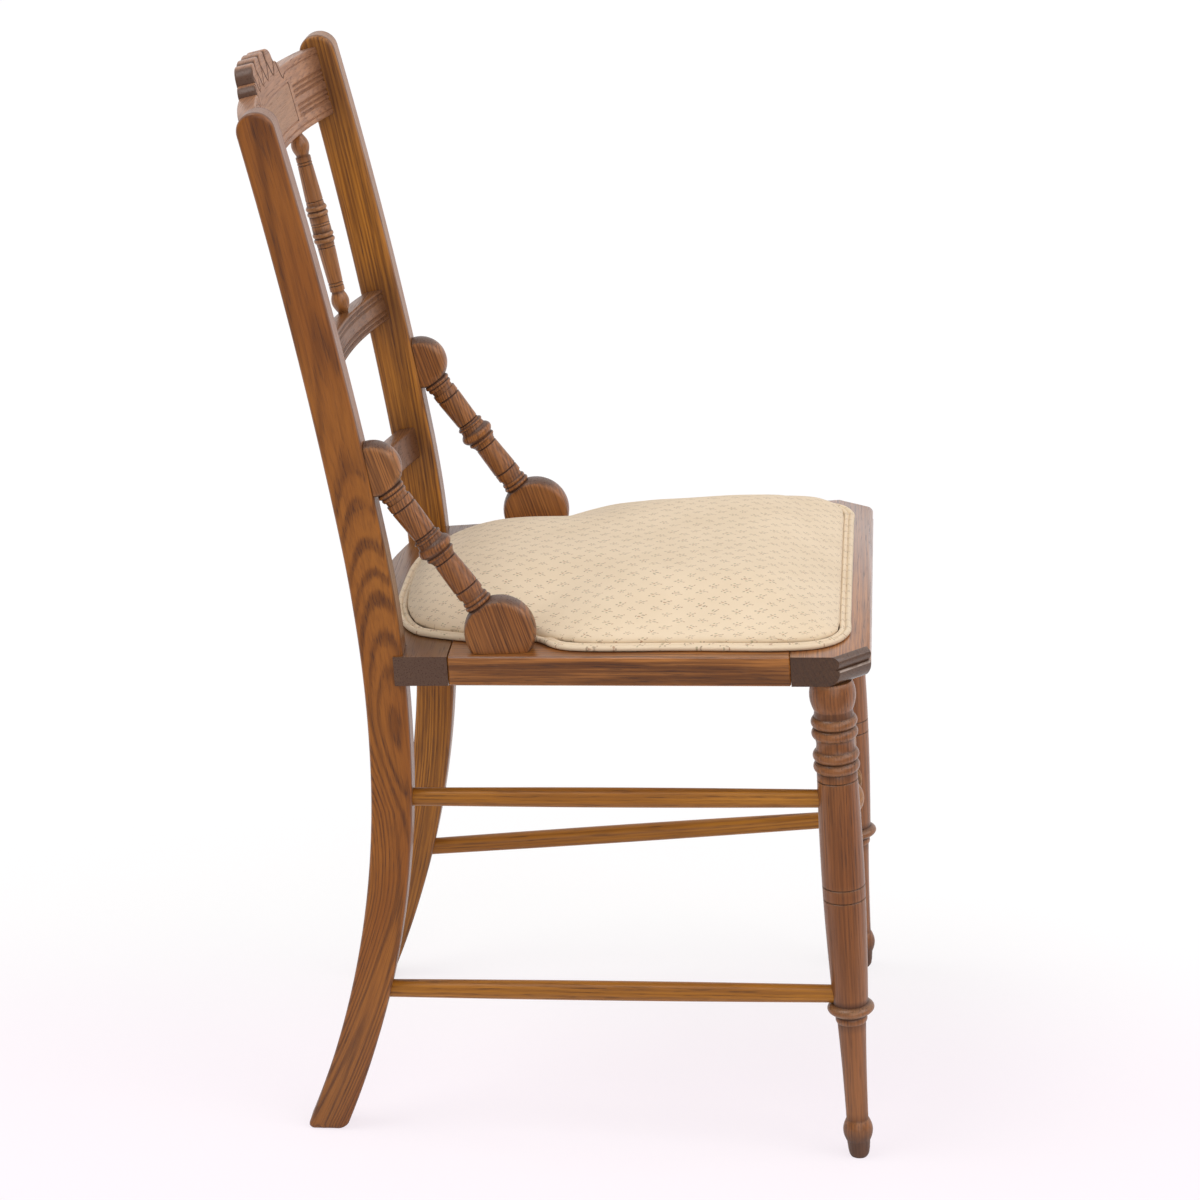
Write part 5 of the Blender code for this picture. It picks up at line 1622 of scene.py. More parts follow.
@dataclass
class FrontLegs(Assembly):
    """The two turned front legs."""

    tenon: float = 0.018
    tenon_radius: float = 0.011
    scribed: float = 0.010
    shoulder_radius: float = 0.0166
    ball_length: float = 0.0259
    ball_radius: float = 0.01935
    ball_end: float = 0.0160
    ring_length: float = 0.0098
    ring_radius: float = 0.0194
    ring_base: float = 0.0166
    shaft_radius: float = 0.01685
    shaft_end: float = 0.0149
    shaft_swell: float = 0.0022
    score: float = 0.0008
    score_heights: Tuple[float, ...] = (0.3460, 0.2514, 0.2396)
    collar_z: float = 0.1335
    collar_length: float = 0.0105
    collar_radius: float = 0.01995
    foot_length: float = 0.0208
    foot_radius: float = 0.01275
    tip_length: float = 0.0150
    tip: Tuple[Tuple[float, float], ...] = ((0.55, 0.0092), (0.27, 0.0084), (0.13, 0.0074), (0.05, 0.0064))
    soiled_to: float = 0.036
    soil_fade: float = 0.022

    def profile(self, length: float, slope: float) -> Profile:
        """Lathe profile from the seat down.

        Args:
            length: From the seat to the floor along the axis.
            slope: Length along the axis for each metre of height.

        Returns:
            Distance from the seat and radius, point by point.
        """
        ring, score = self.ring_length, self.score
        cut = Turning(-self.tenon, self.tenon_radius).run(0.0184).step(self.shoulder_radius)
        cut.bulge(self.ball_length, self.ball_end, self.ball_radius - 0.0163, 22, 0.85)
        cut.run(0.0050, self.ring_base).bead(ring, self.ring_radius).bead(ring, self.ring_radius)
        cut.bulge(ring, self.ring_base, -0.0008, 6).bead(ring, self.ring_radius).bead(ring, self.ring_radius)
        cut.run(0.0004, self.shaft_radius)
        top = cut.height
        collar_top = length - (self.collar_z + self.collar_length) * slope

        def swelled(place: float) -> float:
            """Radius of the shaft at a distance from the seat."""
            share = (place - top) / (collar_top - top)
            plain = self.shaft_radius + (self.shaft_end - self.shaft_radius) * share
            return plain + self.shaft_swell * math.sin(math.pi * share)

        scores = [length - z * slope for z in self.score_heights]
        for place in np.linspace(top, collar_top, 40)[1:]:
            while scores and scores[0] < place:
                groove = scores.pop(0)
                cut.run(groove - score - cut.height, swelled(groove - score))
                cut.run(score, swelled(groove) - score).run(score, swelled(groove + score))
            if place > cut.height + 0.0003:
                cut.run(place - cut.height, swelled(place))
        cut.bulge(self.collar_length, 0.0135, self.collar_radius - 0.0142, 14, 0.7)
        cut.run(0.0010).step(0.0124).bead(0.0066, 0.0136).step(0.0122)
        foot_top = length - (self.tip_length + self.foot_length) * slope
        cut.bulge(foot_top - cut.height, 0.0094, -0.0004, 12)
        cut.bulge(self.foot_length, 0.0100, self.foot_radius - 0.0097, 18, 0.9)
        for share, radius in self.tip:
            cut.run(self.tip_length * slope * share, radius)
        return cut.run(0.0086).points

    def build(self) -> List[Piece]:
        """Turn both legs, cut level at the floor.

        Returns:
            The legs.
        """
        pieces = []
        for side in Side:
            top, foot = self.lines.leg_top(side), self.lines.leg_axis(side, 0.0)
            length, place = (foot - top).length, along(top, foot)
            pieces.append(self.workshop.turned(
                f"front_leg_{side.word}", self.profile(length, length / top.z), place, LEG_OAK, facets=56,
                trim=lambda piece: self.trim(piece, place)))
        return pieces

    def scribe(self, piece: Piece, place: Matrix) -> None:
        """Draw the shoulder of a leg up to the underside of the seat.

        Args:
            piece: The placed leg.
            place: Where its axis stands.
        """
        seat = self.lines.seat()
        up, axis = (turn.to_3x3() @ UP for turn in (seat, place))
        under = seat @ Vector((0.0, 0.0, -self.lines.rail_thickness - TOUCH_GAP))
        points = points_of(piece.data)
        x, y, z = carried(points, place.inverted()).T
        reach = (under.dot(up) - (points - np.outer(z, axis)) @ np.array(up)) / axis.dot(up)
        off_tenon = (z > 0.0) & (np.hypot(x, y) > self.tenon_radius * 1.02)
        share = ease((self.scribed - z) / self.scribed) * off_tenon
        move_points(piece.data, points + np.outer(reach * share, axis))

    def trim(self, piece: Piece, place: Matrix) -> None:
        """Fit a leg to the seat, cut it level at the floor and soil its tip.

        Args:
            piece: The placed leg.
            place: Where its axis stands.
        """
        self.scribe(piece, place)
        slice_off(piece, Vector(), -UP)
        # The lathe's grime and painted shade, cleared on the shoulder, with soil added towards the tip.
        layer = piece.data.attributes["grime_and_shade"]
        soil_and_shade = np.empty(len(layer.data), np.float32)
        layer.data.foreach_get("value", soil_and_shade)
        height = points_of(piece.data)[:, 2]
        soil_and_shade[height > place.translation.z - 0.004] = 0.0
        soil_and_shade = soil_and_shade + ease((self.soiled_to - height) / self.soil_fade)
        write(piece.data, "grime_and_shade", np.clip(soil_and_shade, 0.0, 1.0))


@dataclass
class Stretchers(Assembly):
    """Four plain side stretchers and the turned front stretcher."""

    end_radius: float = 0.0077
    swell: float = 0.0008
    tenon: float = 0.014
    tip_from_axis: float = 0.005
    levels: Tuple[Tuple[str, float, float], ...] = (("upper", 0.328, 0.310), ("lower", 0.151, 0.131))
    front_z: float = 0.250
    front_tenon: float = 0.0194
    ring_length: float = 0.008
    ring_radius: float = 0.0135
    hollow_length: float = 0.014
    bulb_half: float = 0.023
    bulb_neck: float = 0.0095
    bulb_rise: float = 0.0063

    def build_side(self, side: Side, level: str, leg_z: float, post_z: float) -> Piece:
        """Side stretcher from inside the post to inside the leg.

        Args:
            side: Which side.
            level: Upper or lower.
            leg_z: Its height at the leg.
            post_z: Its height at the post.

        Returns:
            The piece.
        """
        lines = self.lines
        start = Vector((side.value * lines.post_middle(post_z), lines.post_front(post_z), post_z))
        end = lines.leg_axis(side, leg_z)
        span = (end - start).length - self.tip_from_axis
        cut = Turning(-self.tenon, self.end_radius).run(self.tenon)
        cut.bulge(span - self.tenon, self.end_radius, self.swell, 26).run(self.tenon)
        return self.workshop.turned(f"side_stretcher_{level}_{side.word}", cut.points, along(start, end),
                                    GOLDEN_OAK, facets=28)

    def build_front(self) -> Piece:
        """Front stretcher with a bulb in the middle and a pair of rings on each side of it.

        Returns:
            The piece.
        """
        start, end = (self.lines.leg_axis(side, self.front_z) for side in Side)
        half = (end - start).length / 2 - self.tip_from_axis
        cut = Turning(0.0, 0.0068).run(self.front_tenon)
        shaft = half - self.front_tenon - 2 * self.ring_length - self.hollow_length - self.bulb_half
        cut.run(shaft - 0.006, 0.0091).score().run(0.0047, 0.0092)
        cut.bead(self.ring_length, self.ring_radius).bead(self.ring_length, self.ring_radius)
        cut.bulge(self.hollow_length, self.bulb_neck, -0.0014, 10)
        cut.points += [(cut.height + self.bulb_half * t,
                        self.bulb_neck + self.bulb_rise * math.sin(math.pi / 2 * t))
                       for t in np.linspace(0.0, 1.0, 13)[1:]]
        place = along(start + (end - start).normalized() * self.tip_from_axis, end)
        return self.workshop.turned("front_stretcher", cut.mirrored(), place, GOLDEN_OAK, Stripe.RIFT, 40)

    def build(self) -> List[Piece]:
        """Make all five stretchers."""
        pieces = [self.build_side(side, *level) for side in Side for level in self.levels]
        return pieces + [self.build_front()]


@dataclass
class HipBraces(Assembly):
    """Turned hip braces whose ball ends are cut flat."""

    upper_z: float = 0.600498
    upper_radius: float = 0.0237
    upper_standoff: float = 0.0034
    from_side: float = 0.0194
    from_rear: float = 0.0813
    lower_radius: float = 0.0302
    lower_standoff: float = 0.0166
    knob_thickness: float = 0.023
    knob_softness: float = 6.0
    knob_fade: float = 0.004
    run_out: float = 0.30
    neck: float = 0.0108
    collar_radius: float = 0.0124
    collar_length: float = 0.008
    collar_split: Tuple[float, float] = (0.55, 0.45)
    groove_radius: float = 0.0100
    groove_length: float = 0.004
    shaft_end: float = 0.0113
    shaft_radius: float = 0.0104
    score: float = 0.0009
    shoulder_radius: float = 0.0130
    shoulder_length: float = 0.007
    bead_radius: float = 0.0150
    bead_length: float = 0.009

    @staticmethod
    def ball(centre: float, radius: float, first: float, last: float) -> Profile:
        """Profile of a ball end between two angles from its axis."""
        return [(centre - radius * math.cos(t), max(radius * math.sin(t), radius * 0.02))
                for t in np.linspace(first, last, 26)]

    def profile(self, length: float) -> Profile:
        """Lathe profile from the upper knob's middle to past the lower knob's.

        Args:
            length: Between the knobs' middles.

        Returns:
            Height and radius, point by point.
        """
        upper_neck = math.pi - math.asin(self.neck / self.upper_radius)
        lower_neck = math.asin(self.neck / self.lower_radius)
        cut, score, slim = Turning(0.0, 0.0), self.score, self.shaft_radius
        cut.points = self.ball(0.0, self.upper_radius, 0.0, upper_neck)
        wide, narrow = (self.collar_length * share for share in self.collar_split)
        cut.bead(wide, self.collar_radius).bead(narrow, self.neck + 0.0008)
        cut.step(self.groove_radius).run(self.groove_length).step(self.shaft_end)
        low_end = length - self.lower_radius * math.cos(lower_neck)
        shaft_end = low_end - self.collar_length - self.groove_length
        middle = 2 * self.shoulder_length + self.bead_length
        shaft = (shaft_end - cut.height - middle) / 2
        cut.run(0.006).score(score, 0.0018).run(shaft - 0.0108, slim).score(score, 0.0016)
        cut.run(0.0014).step(slim + 0.0010).bead(0.0030, self.shoulder_radius - 0.0004)
        cut.run(self.shoulder_length - 0.0040, slim + 0.0014)
        cut.run(0.0010, self.shoulder_radius - 0.0004).bead(self.bead_length, self.bead_radius + 0.0002, 16)
        cut.run(0.0010, slim + 0.0014).bead(0.0034, self.shoulder_radius)
        cut.run(self.shoulder_length - 0.0044, slim)
        cut.run(0.0014).score(score, 0.0016).run(shaft - 0.0108, self.shaft_end)
        cut.score(score, 0.0018).run(0.006)
        cut.step(self.groove_radius).run(self.groove_length).step(self.neck)
        cut.bead(narrow, self.neck + 0.0008).bead(wide, self.collar_radius)
        return cut.points + self.ball(length, self.lower_radius, lower_neck, math.pi)

    def flatten(self, piece: Piece, place: Matrix, length: float) -> None:
        """Cut both ball ends flat on their two sides, with a soft arris.

        Args:
            piece: The placed brace.
            place: Where its axis stands.
            length: Between the knobs' middles.
        """
        local = carried(points_of(piece.data), place.inverted())
        x, z, power = local[:, 0].copy(), local[:, 2], self.knob_softness
        upper_end = math.sqrt(self.upper_radius ** 2 - self.neck ** 2)
        lower_end = length - math.sqrt(self.lower_radius ** 2 - self.neck ** 2)
        in_knob = np.maximum(ease((upper_end - z) / self.knob_fade), ease((z - lower_end) / self.knob_fade))
        ratio = np.abs(x) / (self.knob_thickness / 2)
        local[:, 0] += (x / (1.0 + ratio ** power) ** (1.0 / power) - x) * in_knob
        move_points(piece.data, carried(local, place))
        write(piece.data, "wear_and_glint", hump((ratio - 1.05) / 0.30) * in_knob * 0.8)

    def build_one(self, side: Side) -> Piece:
        """One brace, cut to bear on the post and on the seat.

        Args:
            side: Which brace.

        Returns:
            The piece.
        """
        lines, seat = self.lines, self.lines.seat()
        _, lean = lines.post_line(self.upper_z)
        contact = Vector((side.value * lines.post_middle(self.upper_z), lines.post_front(self.upper_z),
                          self.upper_z))
        into_post = Vector((0.0, math.cos(lean), -math.sin(lean)))
        upper = contact - into_post * self.upper_standoff
        knob_x = side.value * (lines.side_edge(-self.from_rear) - self.from_side)
        lower = seat @ Vector((knob_x, -self.from_rear, self.lower_standoff))
        place, length = along(upper, lower), (lower - upper).length

        def trim(piece: Piece) -> None:
            """Flatten both knobs and cut them to bear.

            Args:
                piece: The placed brace.
            """
            self.flatten(piece, place, length)
            slice_off(piece, contact - into_post * TOUCH_GAP, into_post)
            slice_off(piece, seat @ Vector((knob_x, -self.from_rear, TOUCH_GAP)), -(seat.to_3x3() @ UP))

        return self.workshop.turned(f"hip_brace_{side.word}", self.profile(length), place, TURNED_OAK,
                                    trim=trim, run_out=self.run_out)

    def build(self) -> List[Piece]:
        """Make both braces."""
        return [self.build_one(side) for side in Side]


# Seat

@dataclass
class SeatFrame(Assembly):
    """Moulded front rail, and the finish of the plain rails whose solids stay."""

    front_width: float = 0.0655
    nosing: float = 0.0075
    bead_share: float = 0.45
    fillet_top: float = 1.06
    fillet_foot: float = 1.18
    rear_rail: str = "seat_rear_rail"

    def outline(self, inset: float) -> Array:
        """Plan of the front rail with its front and cut corners set back.

        Args:
            inset: How far they are set back.

        Returns:
            X and Y of its corners.
        """
        lines = self.lines
        rear, front = -lines.seat_depth + self.front_width, -lines.seat_depth + inset
        run = math.hypot(lines.corner_along_front, lines.corner_along_side)
        side_y = -lines.seat_depth + lines.corner_along_side + inset * run / lines.corner_along_front
        shift = inset * (run - lines.corner_along_front) / lines.corner_along_side
        front_x = lines.half_front - lines.corner_along_front - shift
        half = [(lines.side_edge(rear), rear), (lines.side_edge(side_y), side_y), (front_x, front)]
        return np.array(half + [(-x, y) for x, y in reversed(half)])

    def moulding(self) -> Profile:
        """Section of the front rail's moulding: bead, fillet and cove.

        Returns:
            Height from the seat's top and set-back, point by point.
        """
        bead, nosing = self.lines.rail_thickness * self.bead_share, self.nosing
        foot = bead * self.fillet_foot
        cove = self.lines.rail_thickness - foot
        levels = [(-bead * t, nosing * (0.50 if t < 0.5 else 0.30) * (1 - math.sin(math.pi * t) ** 0.8))
                  for t in np.linspace(0.0, 1.0, 19)]
        levels += [(-bead * 1.03, nosing * 0.14), (-bead * self.fillet_top, 0.0), (-foot, 0.0)]
        return levels + [(-foot - cove * math.sin(t), nosing * (1 - math.cos(t)))
                         for t in np.linspace(0.0, math.pi / 2, 12)[1:]]

    def build(self) -> List[Piece]:
        """Make the front rail and dress the others.

        Returns:
            The front rail.
        """
        lines, seat = self.lines, self.lines.seat()
        rings = []
        for z, inset in self.moulding():
            outline = self.outline(inset)
            rings.append(carried(np.column_stack([outline, np.full(len(outline), z)]), seat))
        piece = skin("seat_front_rail_wood", np.array(rings))
        grain = Matrix.Translation((0.0, -0.24, 0.45)) @ Matrix.Rotation(QUARTER_TURN, 4, "Y")
        blank = Timber(grain, Stripe.RIFT, self.workshop.draw)
        blank.mark(piece.data)
        corner_x = lines.half_front - lines.corner_along_front
        fillet = lines.rail_thickness * self.bead_share * (self.fillet_top + self.fillet_foot) / 2
        to_seat, faces = seat.inverted(), piece.data.polygons
        moulded = [len(face.vertices) == 4 and abs(face.center.x) > corner_x for face in faces]
        ends = blank.end_grain([abs(face.normal.x) for face in faces])
        write(piece.data, "endgrain", np.maximum(ends, moulded), "FACE")
        # Painted glint: the faces along the fillet of the moulding, away from the flat ends.
        glint_band = [abs(fillet + (to_seat @ face.center).z) < 0.001 and abs(face.normal.x) < 0.9
                  for face in faces]
        write(piece.data, "wear_and_glint", glint_band, "FACE")
        hand_over(piece, FRONT_OAK.material(), FRONT_OAK.slot, "seat_front_rail")
        self.dress_rails()
        return [piece]

    def dress_rails(self) -> None:
        """Give the side rails and the rear rail wood that runs along each of them."""
        lines, draw = self.lines, self.workshop.draw
        flare = math.atan((lines.half_front - lines.half_rear) / (lines.seat_depth - lines.corner_along_side))
        turns = {self.rear_rail: Matrix.Rotation(QUARTER_TURN, 4, "Y")}
        for side in Side:
            tilt = Matrix.Rotation(-lines.seat_tilt + QUARTER_TURN, 4, "X")
            turns[f"seat_side_rail_{side.word}"] = Matrix.Rotation(side.value * flare, 4, "Z") @ tilt
        for node, turn in turns.items():
            inverse = turn.inverted()
            shift = Vector((0.058, draw.uniform(-0.01, 0.01), draw.uniform(1.0, 9.0)))
            low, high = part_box(node)
            mapping = Matrix.Translation(shift - inverse @ ((low + high) / 2)) @ inverse
            finish = REAR_OAK if node == self.rear_rail else BROWN_OAK
            dress(frame["nodes"][node], finish.material(along=mapping))
            LOG.info("%s: dressed", node)


@dataclass
class PaddedSeat(Assembly):
    """The cushion, its double welt, the board below and its screws."""

    braces: HipBraces
    tongue: float = 0.0290
    rear_bow: float = 0.0200
    rear_margin: float = 0.0265
    post_margin: float = 0.0120
    brace_margin: float = 0.0030
    side_margin: float = 0.0130
    front_margin: float = 0.0165
    corner: float = 0.0400
    cord: float = 0.0050
    cord_facets: int = 14
    welt_points: int = 360
    stitch_pitch: float = 0.0042
    stitch_radius: float = 0.00045
    stitch_length: float = 0.0014
    voxel: float = 0.0050
    pressure: float = 4.0
    stiffness: float = 12.0
    frames: int = 20
    move_cap: float = 0.009
    even_steps: int = 30
    start_share: float = 0.97
    fullness: float = 0.88
    held_height: float = 0.0045
    base_push: float = 0.0032
    base_height: float = 0.016
    drape: float = 0.8

    def loop(self) -> Array:
        """Outer edge of the welt in the seat's plan.

        Returns:
            X and Y, from the rear middle round by the left side.
        """
        lines, knob, corner = self.lines, self.braces, self.corner
        rear = self.tongue + self.rear_bow - self.rear_margin
        front = -lines.seat_depth + self.front_margin
        post = lines.post_inner(lines.seat_rear_top) - self.post_margin
        knob_y = -knob.from_rear
        knob_x = lines.side_edge(knob_y) - knob.from_side - knob.knob_thickness / 2 - self.brace_margin
        chord = math.sqrt(knob.lower_radius ** 2 - knob.lower_standoff ** 2)
        side = lines.side_edge(front) - self.side_margin
        straight = [(lines.side_edge(y) - self.side_margin, y)
                    for y in (knob_y - 2.3 * chord, front + 3.4 * corner, front + corner * 1.3)]
        half = [(post / 2, rear * 0.85), (post - corner / 2, corner * 0.06), (post, -corner * 0.6),
                (knob_x, knob_y + chord * 0.4), (knob_x, knob_y - chord), *straight,
                (side - corner * 0.34, front + corner * 0.42), (side - corner, front + corner * 0.02),
                (side - 2 * corner, front)]
        corners = np.array([(0.0, rear)] + half + [(0.0, front)] + [(-x, y) for x, y in reversed(half)])
        p0, p1, p2, p3 = (np.roll(corners, shift, 0)[:, None] for shift in (1, 0, -1, -2))
        t = (np.arange(24) / 24)[None, :, None]
        smooth = p1 + ((p2 - p0) * t + (2 * p0 - 5 * p1 + 4 * p2 - p3) * t ** 2
                       + (3 * p1 - p0 - 3 * p2 + p3) * t ** 3) / 2
        closed = np.vstack([smooth.reshape(-1, 2), corners[:1]])
        walk = np.concatenate([[0.0], np.cumsum(np.linalg.norm(np.diff(closed, axis=0), axis=1))])
        stops = np.linspace(0.0, walk[-1], self.welt_points + 1)[:-1]
        return np.column_stack([np.interp(stops, walk, line) for line in closed.T])

    @staticmethod
    def offset(loop: Array, inset: float) -> Array:
        """A plan loop moved inwards by an even distance.

        Args:
            loop: X and Y of its points.
            inset: The distance.

        Returns:
            The moved points.
        """
        run = np.roll(loop, -1, 0) - np.roll(loop, 1, 0)
        run /= np.linalg.norm(run, axis=1)[:, None]
        return loop + np.column_stack([run[:, 1], -run[:, 0]]) * inset

    def seat_points(self, mesh: Mesh, shift: float = 0.0) -> Array:
        """A mesh's points in the seat's own frame, where the mesh was shifted along Y before."""
        seat = Matrix.Translation((0.0, shift, 0.0)) @ self.lines.seat()
        return carried(points_of(mesh), seat.inverted())

    def swell(self, piece: Piece, held: Array) -> None:
        """Blow the pad up a little with a cloth simulation and keep the result.

        Args:
            piece: The pad.
            held: The points that stay where they are.
        """
        start = points_of(piece.data)
        group = piece.vertex_groups.new(name="held")
        group.add(np.nonzero(held)[0].tolist(), 1.0, "REPLACE")
        cloth = piece.modifiers.new("cloth", "CLOTH").settings
        cloth.use_pressure = True
        cloth.uniform_pressure_force = self.pressure
        cloth.effector_weights.gravity = 0.0
        cloth.vertex_group_mass = group.name
        cloth.tension_stiffness = cloth.compression_stiffness = self.stiffness
        scene = bpy.context.scene
        for number in range(1, self.frames + 1):
            scene.frame_set(number)
        bake(piece)
        scene.frame_set(1)
        moved = points_of(piece.data) - start
        far = np.linalg.norm(moved, axis=1)
        moved *= np.minimum(1.0, self.move_cap / np.maximum(far, 1e-9))[:, None]
        ends = np.array([edge.vertices for edge in piece.data.edges])
        ends = np.vstack([ends, ends[:, ::-1]])
        count = np.bincount(ends[:, 0], minlength=len(moved))[:, None]
        for _ in range(self.even_steps):
            near = np.zeros_like(moved)
            np.add.at(near, ends[:, 0], moved[ends[:, 1]])
            moved = np.where(held[:, None], 0.0, 0.4 * moved + 0.6 * near / count)
        kept = np.linalg.norm(moved, axis=1)
        LOG.info("cushion swelled by %.1f mm, evened to %.1f mm", 1000 * far.max(), 1000 * kept.max())
        move_points(piece.data, start + moved)
        piece.vertex_groups.clear()

    def build_cushion(self, material: Material) -> Piece:
        """Padded cushion, swelled from a slightly flatter copy of its solid.

        Args:
            material: The cloth.

        Returns:
            The piece.
        """
        piece = link("seat_cushion_cloth", frame["nodes"]["seat_cushion"].data.copy())
        settle(open_shape(piece.data), piece.data)
        seat = Matrix.Translation((0.0, ORIGIN_Y, 0.0)) @ self.lines.seat()
        piece.data.transform(seat.inverted())
        local = points_of(piece.data)
        top = local[:, 2].max()
        fuller = np.abs(local[:, 2] / top) ** self.fullness
        local[:, 2] = top * self.start_share * np.sign(local[:, 2]) * fuller
        move_points(piece.data, local)
        piece.data.transform(seat)
        remesh = piece.modifiers.new("voxels", "REMESH")
        remesh.mode = "VOXEL"
        remesh.voxel_size = self.voxel
        bake(piece)
        self.swell(piece, self.seat_points(piece.data, ORIGIN_Y)[:, 2] < self.held_height)
        smooth = piece.modifiers.new("even", "SMOOTH")
        smooth.factor, smooth.iterations = 0.5, 3
        finer = piece.modifiers.new("finer", "SUBSURF")
        finer.levels = finer.render_levels = 1
        bake(piece)
        local = self.seat_points(piece.data, ORIGIN_Y)
        height = local[:, 2]
        normals = np.array([vert.normal for vert in piece.data.vertices])
        push = self.base_push * ease((self.base_height - height) / self.base_height * 2.0)
        out = normals * (1.0, 1.0, 0.0) / np.maximum(np.linalg.norm(normals[:, :2], axis=1), 0.3)[:, None]
        move_points(piece.data, points_of(piece.data) + out * push[:, None])
        piece.data.update()
        drop = (height.max() - height) * self.drape
        write(piece.data, "plan", (local + normals * drop[:, None]) * (1.0, 1.0, 0.0))
        # Painted shade along the cushion's foot.
        write(piece.data, "grime_and_shade", ease((0.0065 - height) / 0.006))
        piece.data.shade_smooth()
        piece.data.transform(Matrix.Translation((0.0, -ORIGIN_Y, 0.0)))
        hand_over(piece, material, CREAM_COTTON.slot, "seat_cushion")
        return piece

    def build_welt(self, material: Material) -> Piece:
        """Double welt: two covered cords side by side, with stitches in the groove between them.

        Args:
            material: The cloth.

        Returns:
            The piece.
        """
        name, outer, radius = "seat_welt_cloth", self.loop(), self.cord / 2
        count = len(outer)
        cords = (radius, radius), (3 * radius, radius * 1.04)
        seam = 2 * radius, radius * 1.45
        rings = [carried(np.column_stack([self.offset(outer, inset), np.full(count, up + TOUCH_GAP)]),
                         self.lines.seat()) for inset, up in (*cords, seam)]
        edges = [(first + i, first + (i + 1) % count)
                 for first in (0, count, 2 * count) for i in range(count)]
        mesh = draw_mesh(name, np.array(rings), edges)
        layer = mesh.attributes.new("stitch_row", "BOOLEAN", "POINT")
        layer.data.foreach_set("value", np.arange(3 * count) >= 2 * count)
        piece = WeltMaker().run(link(name, mesh), {
            "Cord radius": radius * 1.02, "Facets": self.cord_facets, "Stitch pitch": self.stitch_pitch,
            "Stitch radius": self.stitch_radius, "Stitch length": self.stitch_length, "Finish": material})
        piece.data.shade_smooth()
        local = self.seat_points(piece.data)
        write(piece.data, "plan", local * (1.0, 1.0, 0.0))
        # Painted shade along the welt's underside.
        write(piece.data, "grime_and_shade", ease((0.0022 - local[:, 2]) / 0.0022) * 0.6)
        return hand_over(piece, material, CREAM_COTTON.slot, "seat_welt")

    def dress_hidden(self) -> None:
        """Give the board, the dowels and the screws their own finishes."""
        for word, finish in (("board_screw", STEEL), ("dowel", BEECH), ("seat_board", PLY)):
            material = finish.material()
            for node, solid in frame["nodes"].items():
                if word in node:
                    dress(solid, material)

    def build(self) -> List[Piece]:
        """Make the padding and dress what is below it.

        Returns:
            The cushion and the welt.
        """
        material = CREAM_COTTON.material()
        self.dress_hidden()
        return [self.build_cushion(material), self.build_welt(material)]


# Studio

@dataclass(frozen=True)
class Lamp:
    """One soft lamp far away."""

    name: str
    energy: float
    angle: float
    towards: Triple
    colour: Colour

    def hang(self) -> None:
        """Put the lamp in the scene."""
        data = bpy.data.lights.new(self.name, "SUN")
        data.energy, data.angle, data.color = self.energy, self.angle, self.colour
        lamp = bpy.data.objects.new(self.name, data)
        lamp.rotation_euler = Vector(self.towards).to_track_quat("-Z", "Y").to_euler()
        bpy.context.scene.collection.objects.link(lamp)


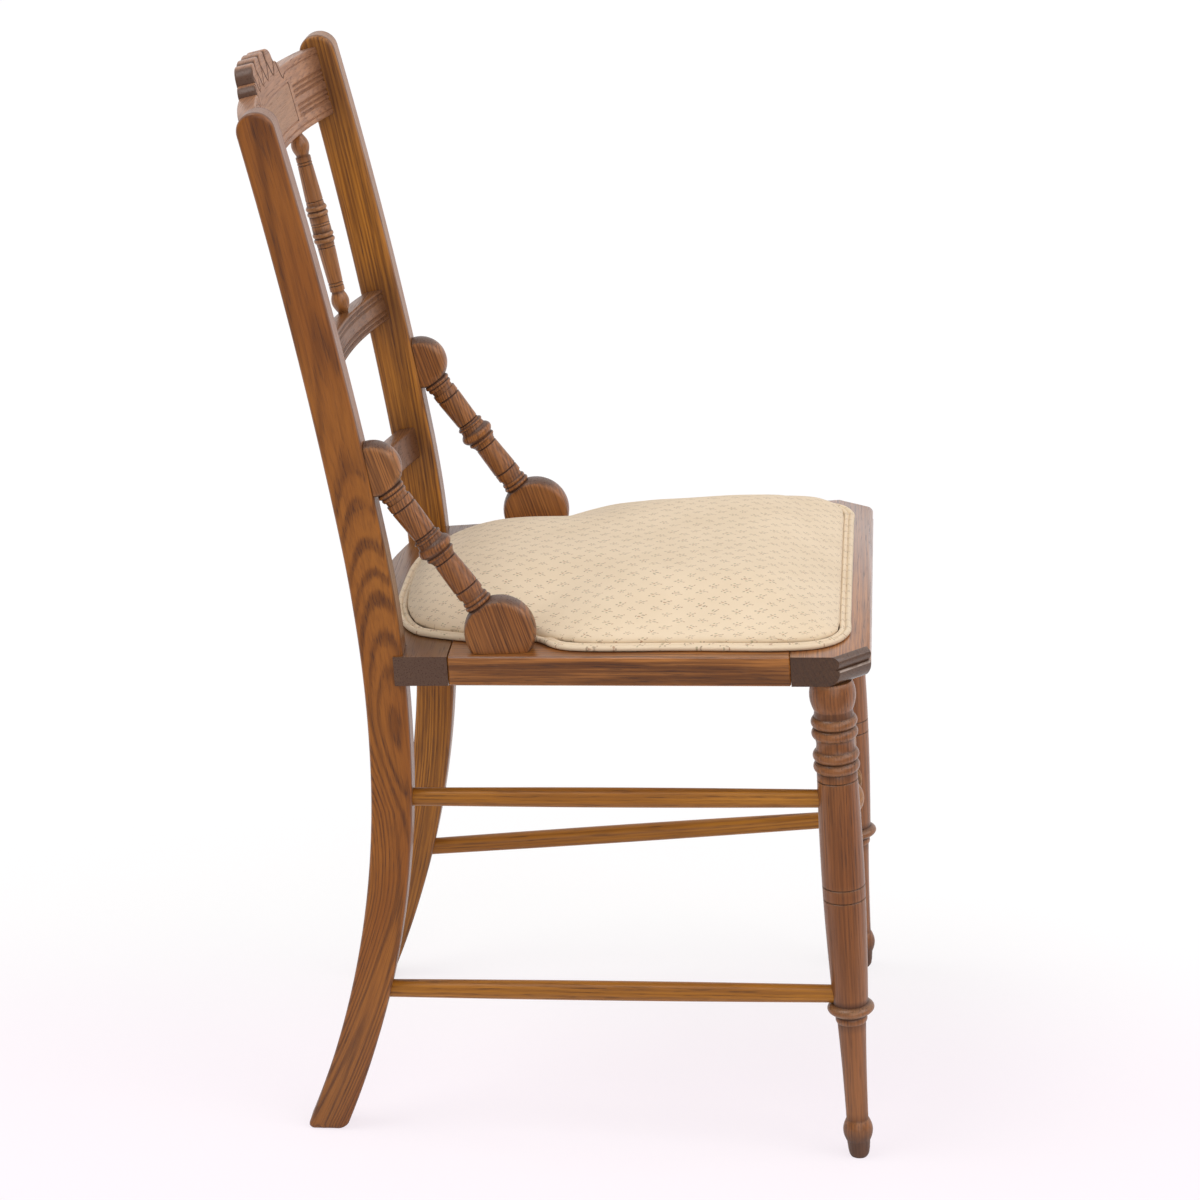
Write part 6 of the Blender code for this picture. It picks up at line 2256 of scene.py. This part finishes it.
@dataclass
class Studio:
    """Pale floor, soft light and the camera at the photograph's view."""

    eye: Triple = (-3.13648, -0.25 + ORIGIN_Y, 1.49409)
    yaw: float = math.radians(4.3917)
    pitch: float = math.radians(18.649)
    roll: float = math.radians(-0.7363)
    focal_pixels: float = 3794.09
    picture_pixels: float = 1200.0
    sensor: float = 36.0
    clip_end: float = 200.0
    floor_half: float = 40.0
    floor_colour: Colour = (0.90, 0.885, 0.895)
    near_tint: Colour = (1.0, 0.930, 0.985)
    floor_glow: float = 0.72
    glow_level: float = 1.06
    floor_dark: float = 0.25
    world_level: float = 0.47
    world_colour: Colour = (1.0, 0.985, 0.985)
    studio_dark: float = 0.22
    lamps: Tuple[Lamp, ...] = (
        Lamp("key_lamp", 1.0, 0.60, (0.12, -0.45, -1.0), (1.0, 0.985, 0.97)),
        Lamp("side_lamp", 0.70, 0.90, (1.0, 0.25, -0.45), (1.0, 0.99, 0.97)),
        Lamp("fill_lamp", 1.0, 0.80, (0.25, 0.75, -0.70), (1.0, 0.95, 0.97)))

    def place_camera(self) -> None:
        """Stand the camera where the photograph was taken from."""
        flat = math.cos(self.pitch)
        ahead = Vector((flat * math.cos(self.yaw), flat * math.sin(self.yaw), -math.sin(self.pitch)))
        level = ahead.cross(UP).normalized()
        upright = level.cross(ahead)
        right = level * math.cos(self.roll) + upright * math.sin(self.roll)
        up = upright * math.cos(self.roll) - level * math.sin(self.roll)
        data = bpy.data.cameras.new("photo_camera")
        data.sensor_fit = "HORIZONTAL"
        data.sensor_width = self.sensor
        data.lens = self.sensor * self.focal_pixels / self.picture_pixels
        data.clip_end = self.clip_end
        camera = bpy.data.objects.new("photo_camera", data)
        turn = Matrix((right, up, -ahead)).transposed().to_4x4()
        camera.matrix_world = Matrix.Translation(self.eye) @ turn
        bpy.context.scene.collection.objects.link(camera)
        bpy.context.scene.camera = camera

    def lay_floor(self) -> None:
        """Large pale floor that takes the chair's shadow."""
        corners = np.array([(-1, -1, 0), (1, -1, 0), (1, 1, 0), (-1, 1, 0)]) * self.floor_half
        floor = link("studio_floor", draw_mesh("studio_floor", corners, (), [(0, 1, 2, 3)]))
        graph = Surface("pale_floor")
        place = graph.place()
        depth = graph.split(place)[0]
        cloudy = tuple(c * 0.985 for c in self.floor_colour)
        colour = graph.blend(graph.noise(place, (1.3, 1.3, 1.0)), self.floor_colour, cloudy)
        material = graph.finish({"Base Color": colour, "Roughness": 0.95, "Specular IOR Level": 0.0})
        white = graph.blend(graph.remap(depth, -0.10, 0.35), self.near_tint, WHITE)
        path = graph.add("ShaderNodeLightPath").outputs
        level = graph.times(path["Is Camera Ray"], self.glow_level - self.floor_dark, self.floor_dark)
        glow = graph.add("ShaderNodeEmission", {"Color": white, "Strength": level}).outputs[0]
        seen = graph.times(path["Is Camera Ray"], self.floor_glow)
        mirrored = graph.times(path["Is Glossy Ray"], graph.remap(depth, -0.60, -0.30, 1.0, 0.0))
        mixed = graph.add("ShaderNodeMixShader", {
            0: graph.math("MAXIMUM", seen, mirrored), 1: graph.shader.outputs[0], 2: glow}).outputs[0]
        graph.feed(graph.tree.nodes["Material Output"], {"Surface": mixed})
        floor.data.materials.append(material)

    def light_world(self) -> None:
        """Even soft light, with a plain white that shows behind the chair and in its gloss."""
        world = bpy.data.worlds.new("studio_world")
        bpy.context.scene.world = world
        world.use_nodes = True
        graph = Graph(world.node_tree)
        graph.tree.nodes.clear()
        path = graph.add("ShaderNodeLightPath").outputs
        mirror = graph.math("MAXIMUM", path["Is Glossy Ray"], path["Is Transmission Ray"])
        seen = graph.math("MAXIMUM", path["Is Camera Ray"], mirror)
        ahead = graph.split(graph.add("ShaderNodeTexCoord").outputs["Generated"])[0]
        shown = graph.times(seen, graph.remap(ahead, -0.35, 0.30, self.studio_dark, 1.0))
        level = graph.times(graph.math("SUBTRACT", 1.0, seen), self.world_level, shown)
        sky = graph.add("ShaderNodeBackground", {"Color": (*self.world_colour, 1.0), "Strength": level})
        graph.add("ShaderNodeOutputWorld", {0: sky.outputs[0]})

    def build(self) -> None:
        """Set up the whole studio."""
        bpy.context.scene.view_settings.view_transform = "Standard"
        self.place_camera()
        self.lay_floor()
        self.light_world()
        for lamp in self.lamps:
            lamp.hang()


def main() -> None:
    """Build the chair's looks in order."""
    logging.basicConfig(level=logging.INFO, format="%(name)s: %(message)s")
    Studio().build()
    turned_wood = {finish: finish.material() for finish in FINISHES_TURNED}
    workshop = Workshop(ChairLines(), Lathe(), RAIL_OAK.material(), turned_wood, random.Random(SEED))
    braces = HipBraces(workshop)
    pieces: List[Piece] = []
    for assembly in (BackFrame(workshop), FrontLegs(workshop), Stretchers(workshop), braces,
                     SeatFrame(workshop), PaddedSeat(workshop, braces)):
        pieces += assembly.build()
    LOG.info("%d pieces made", len(pieces))


if __name__ == "__main__":
    main()
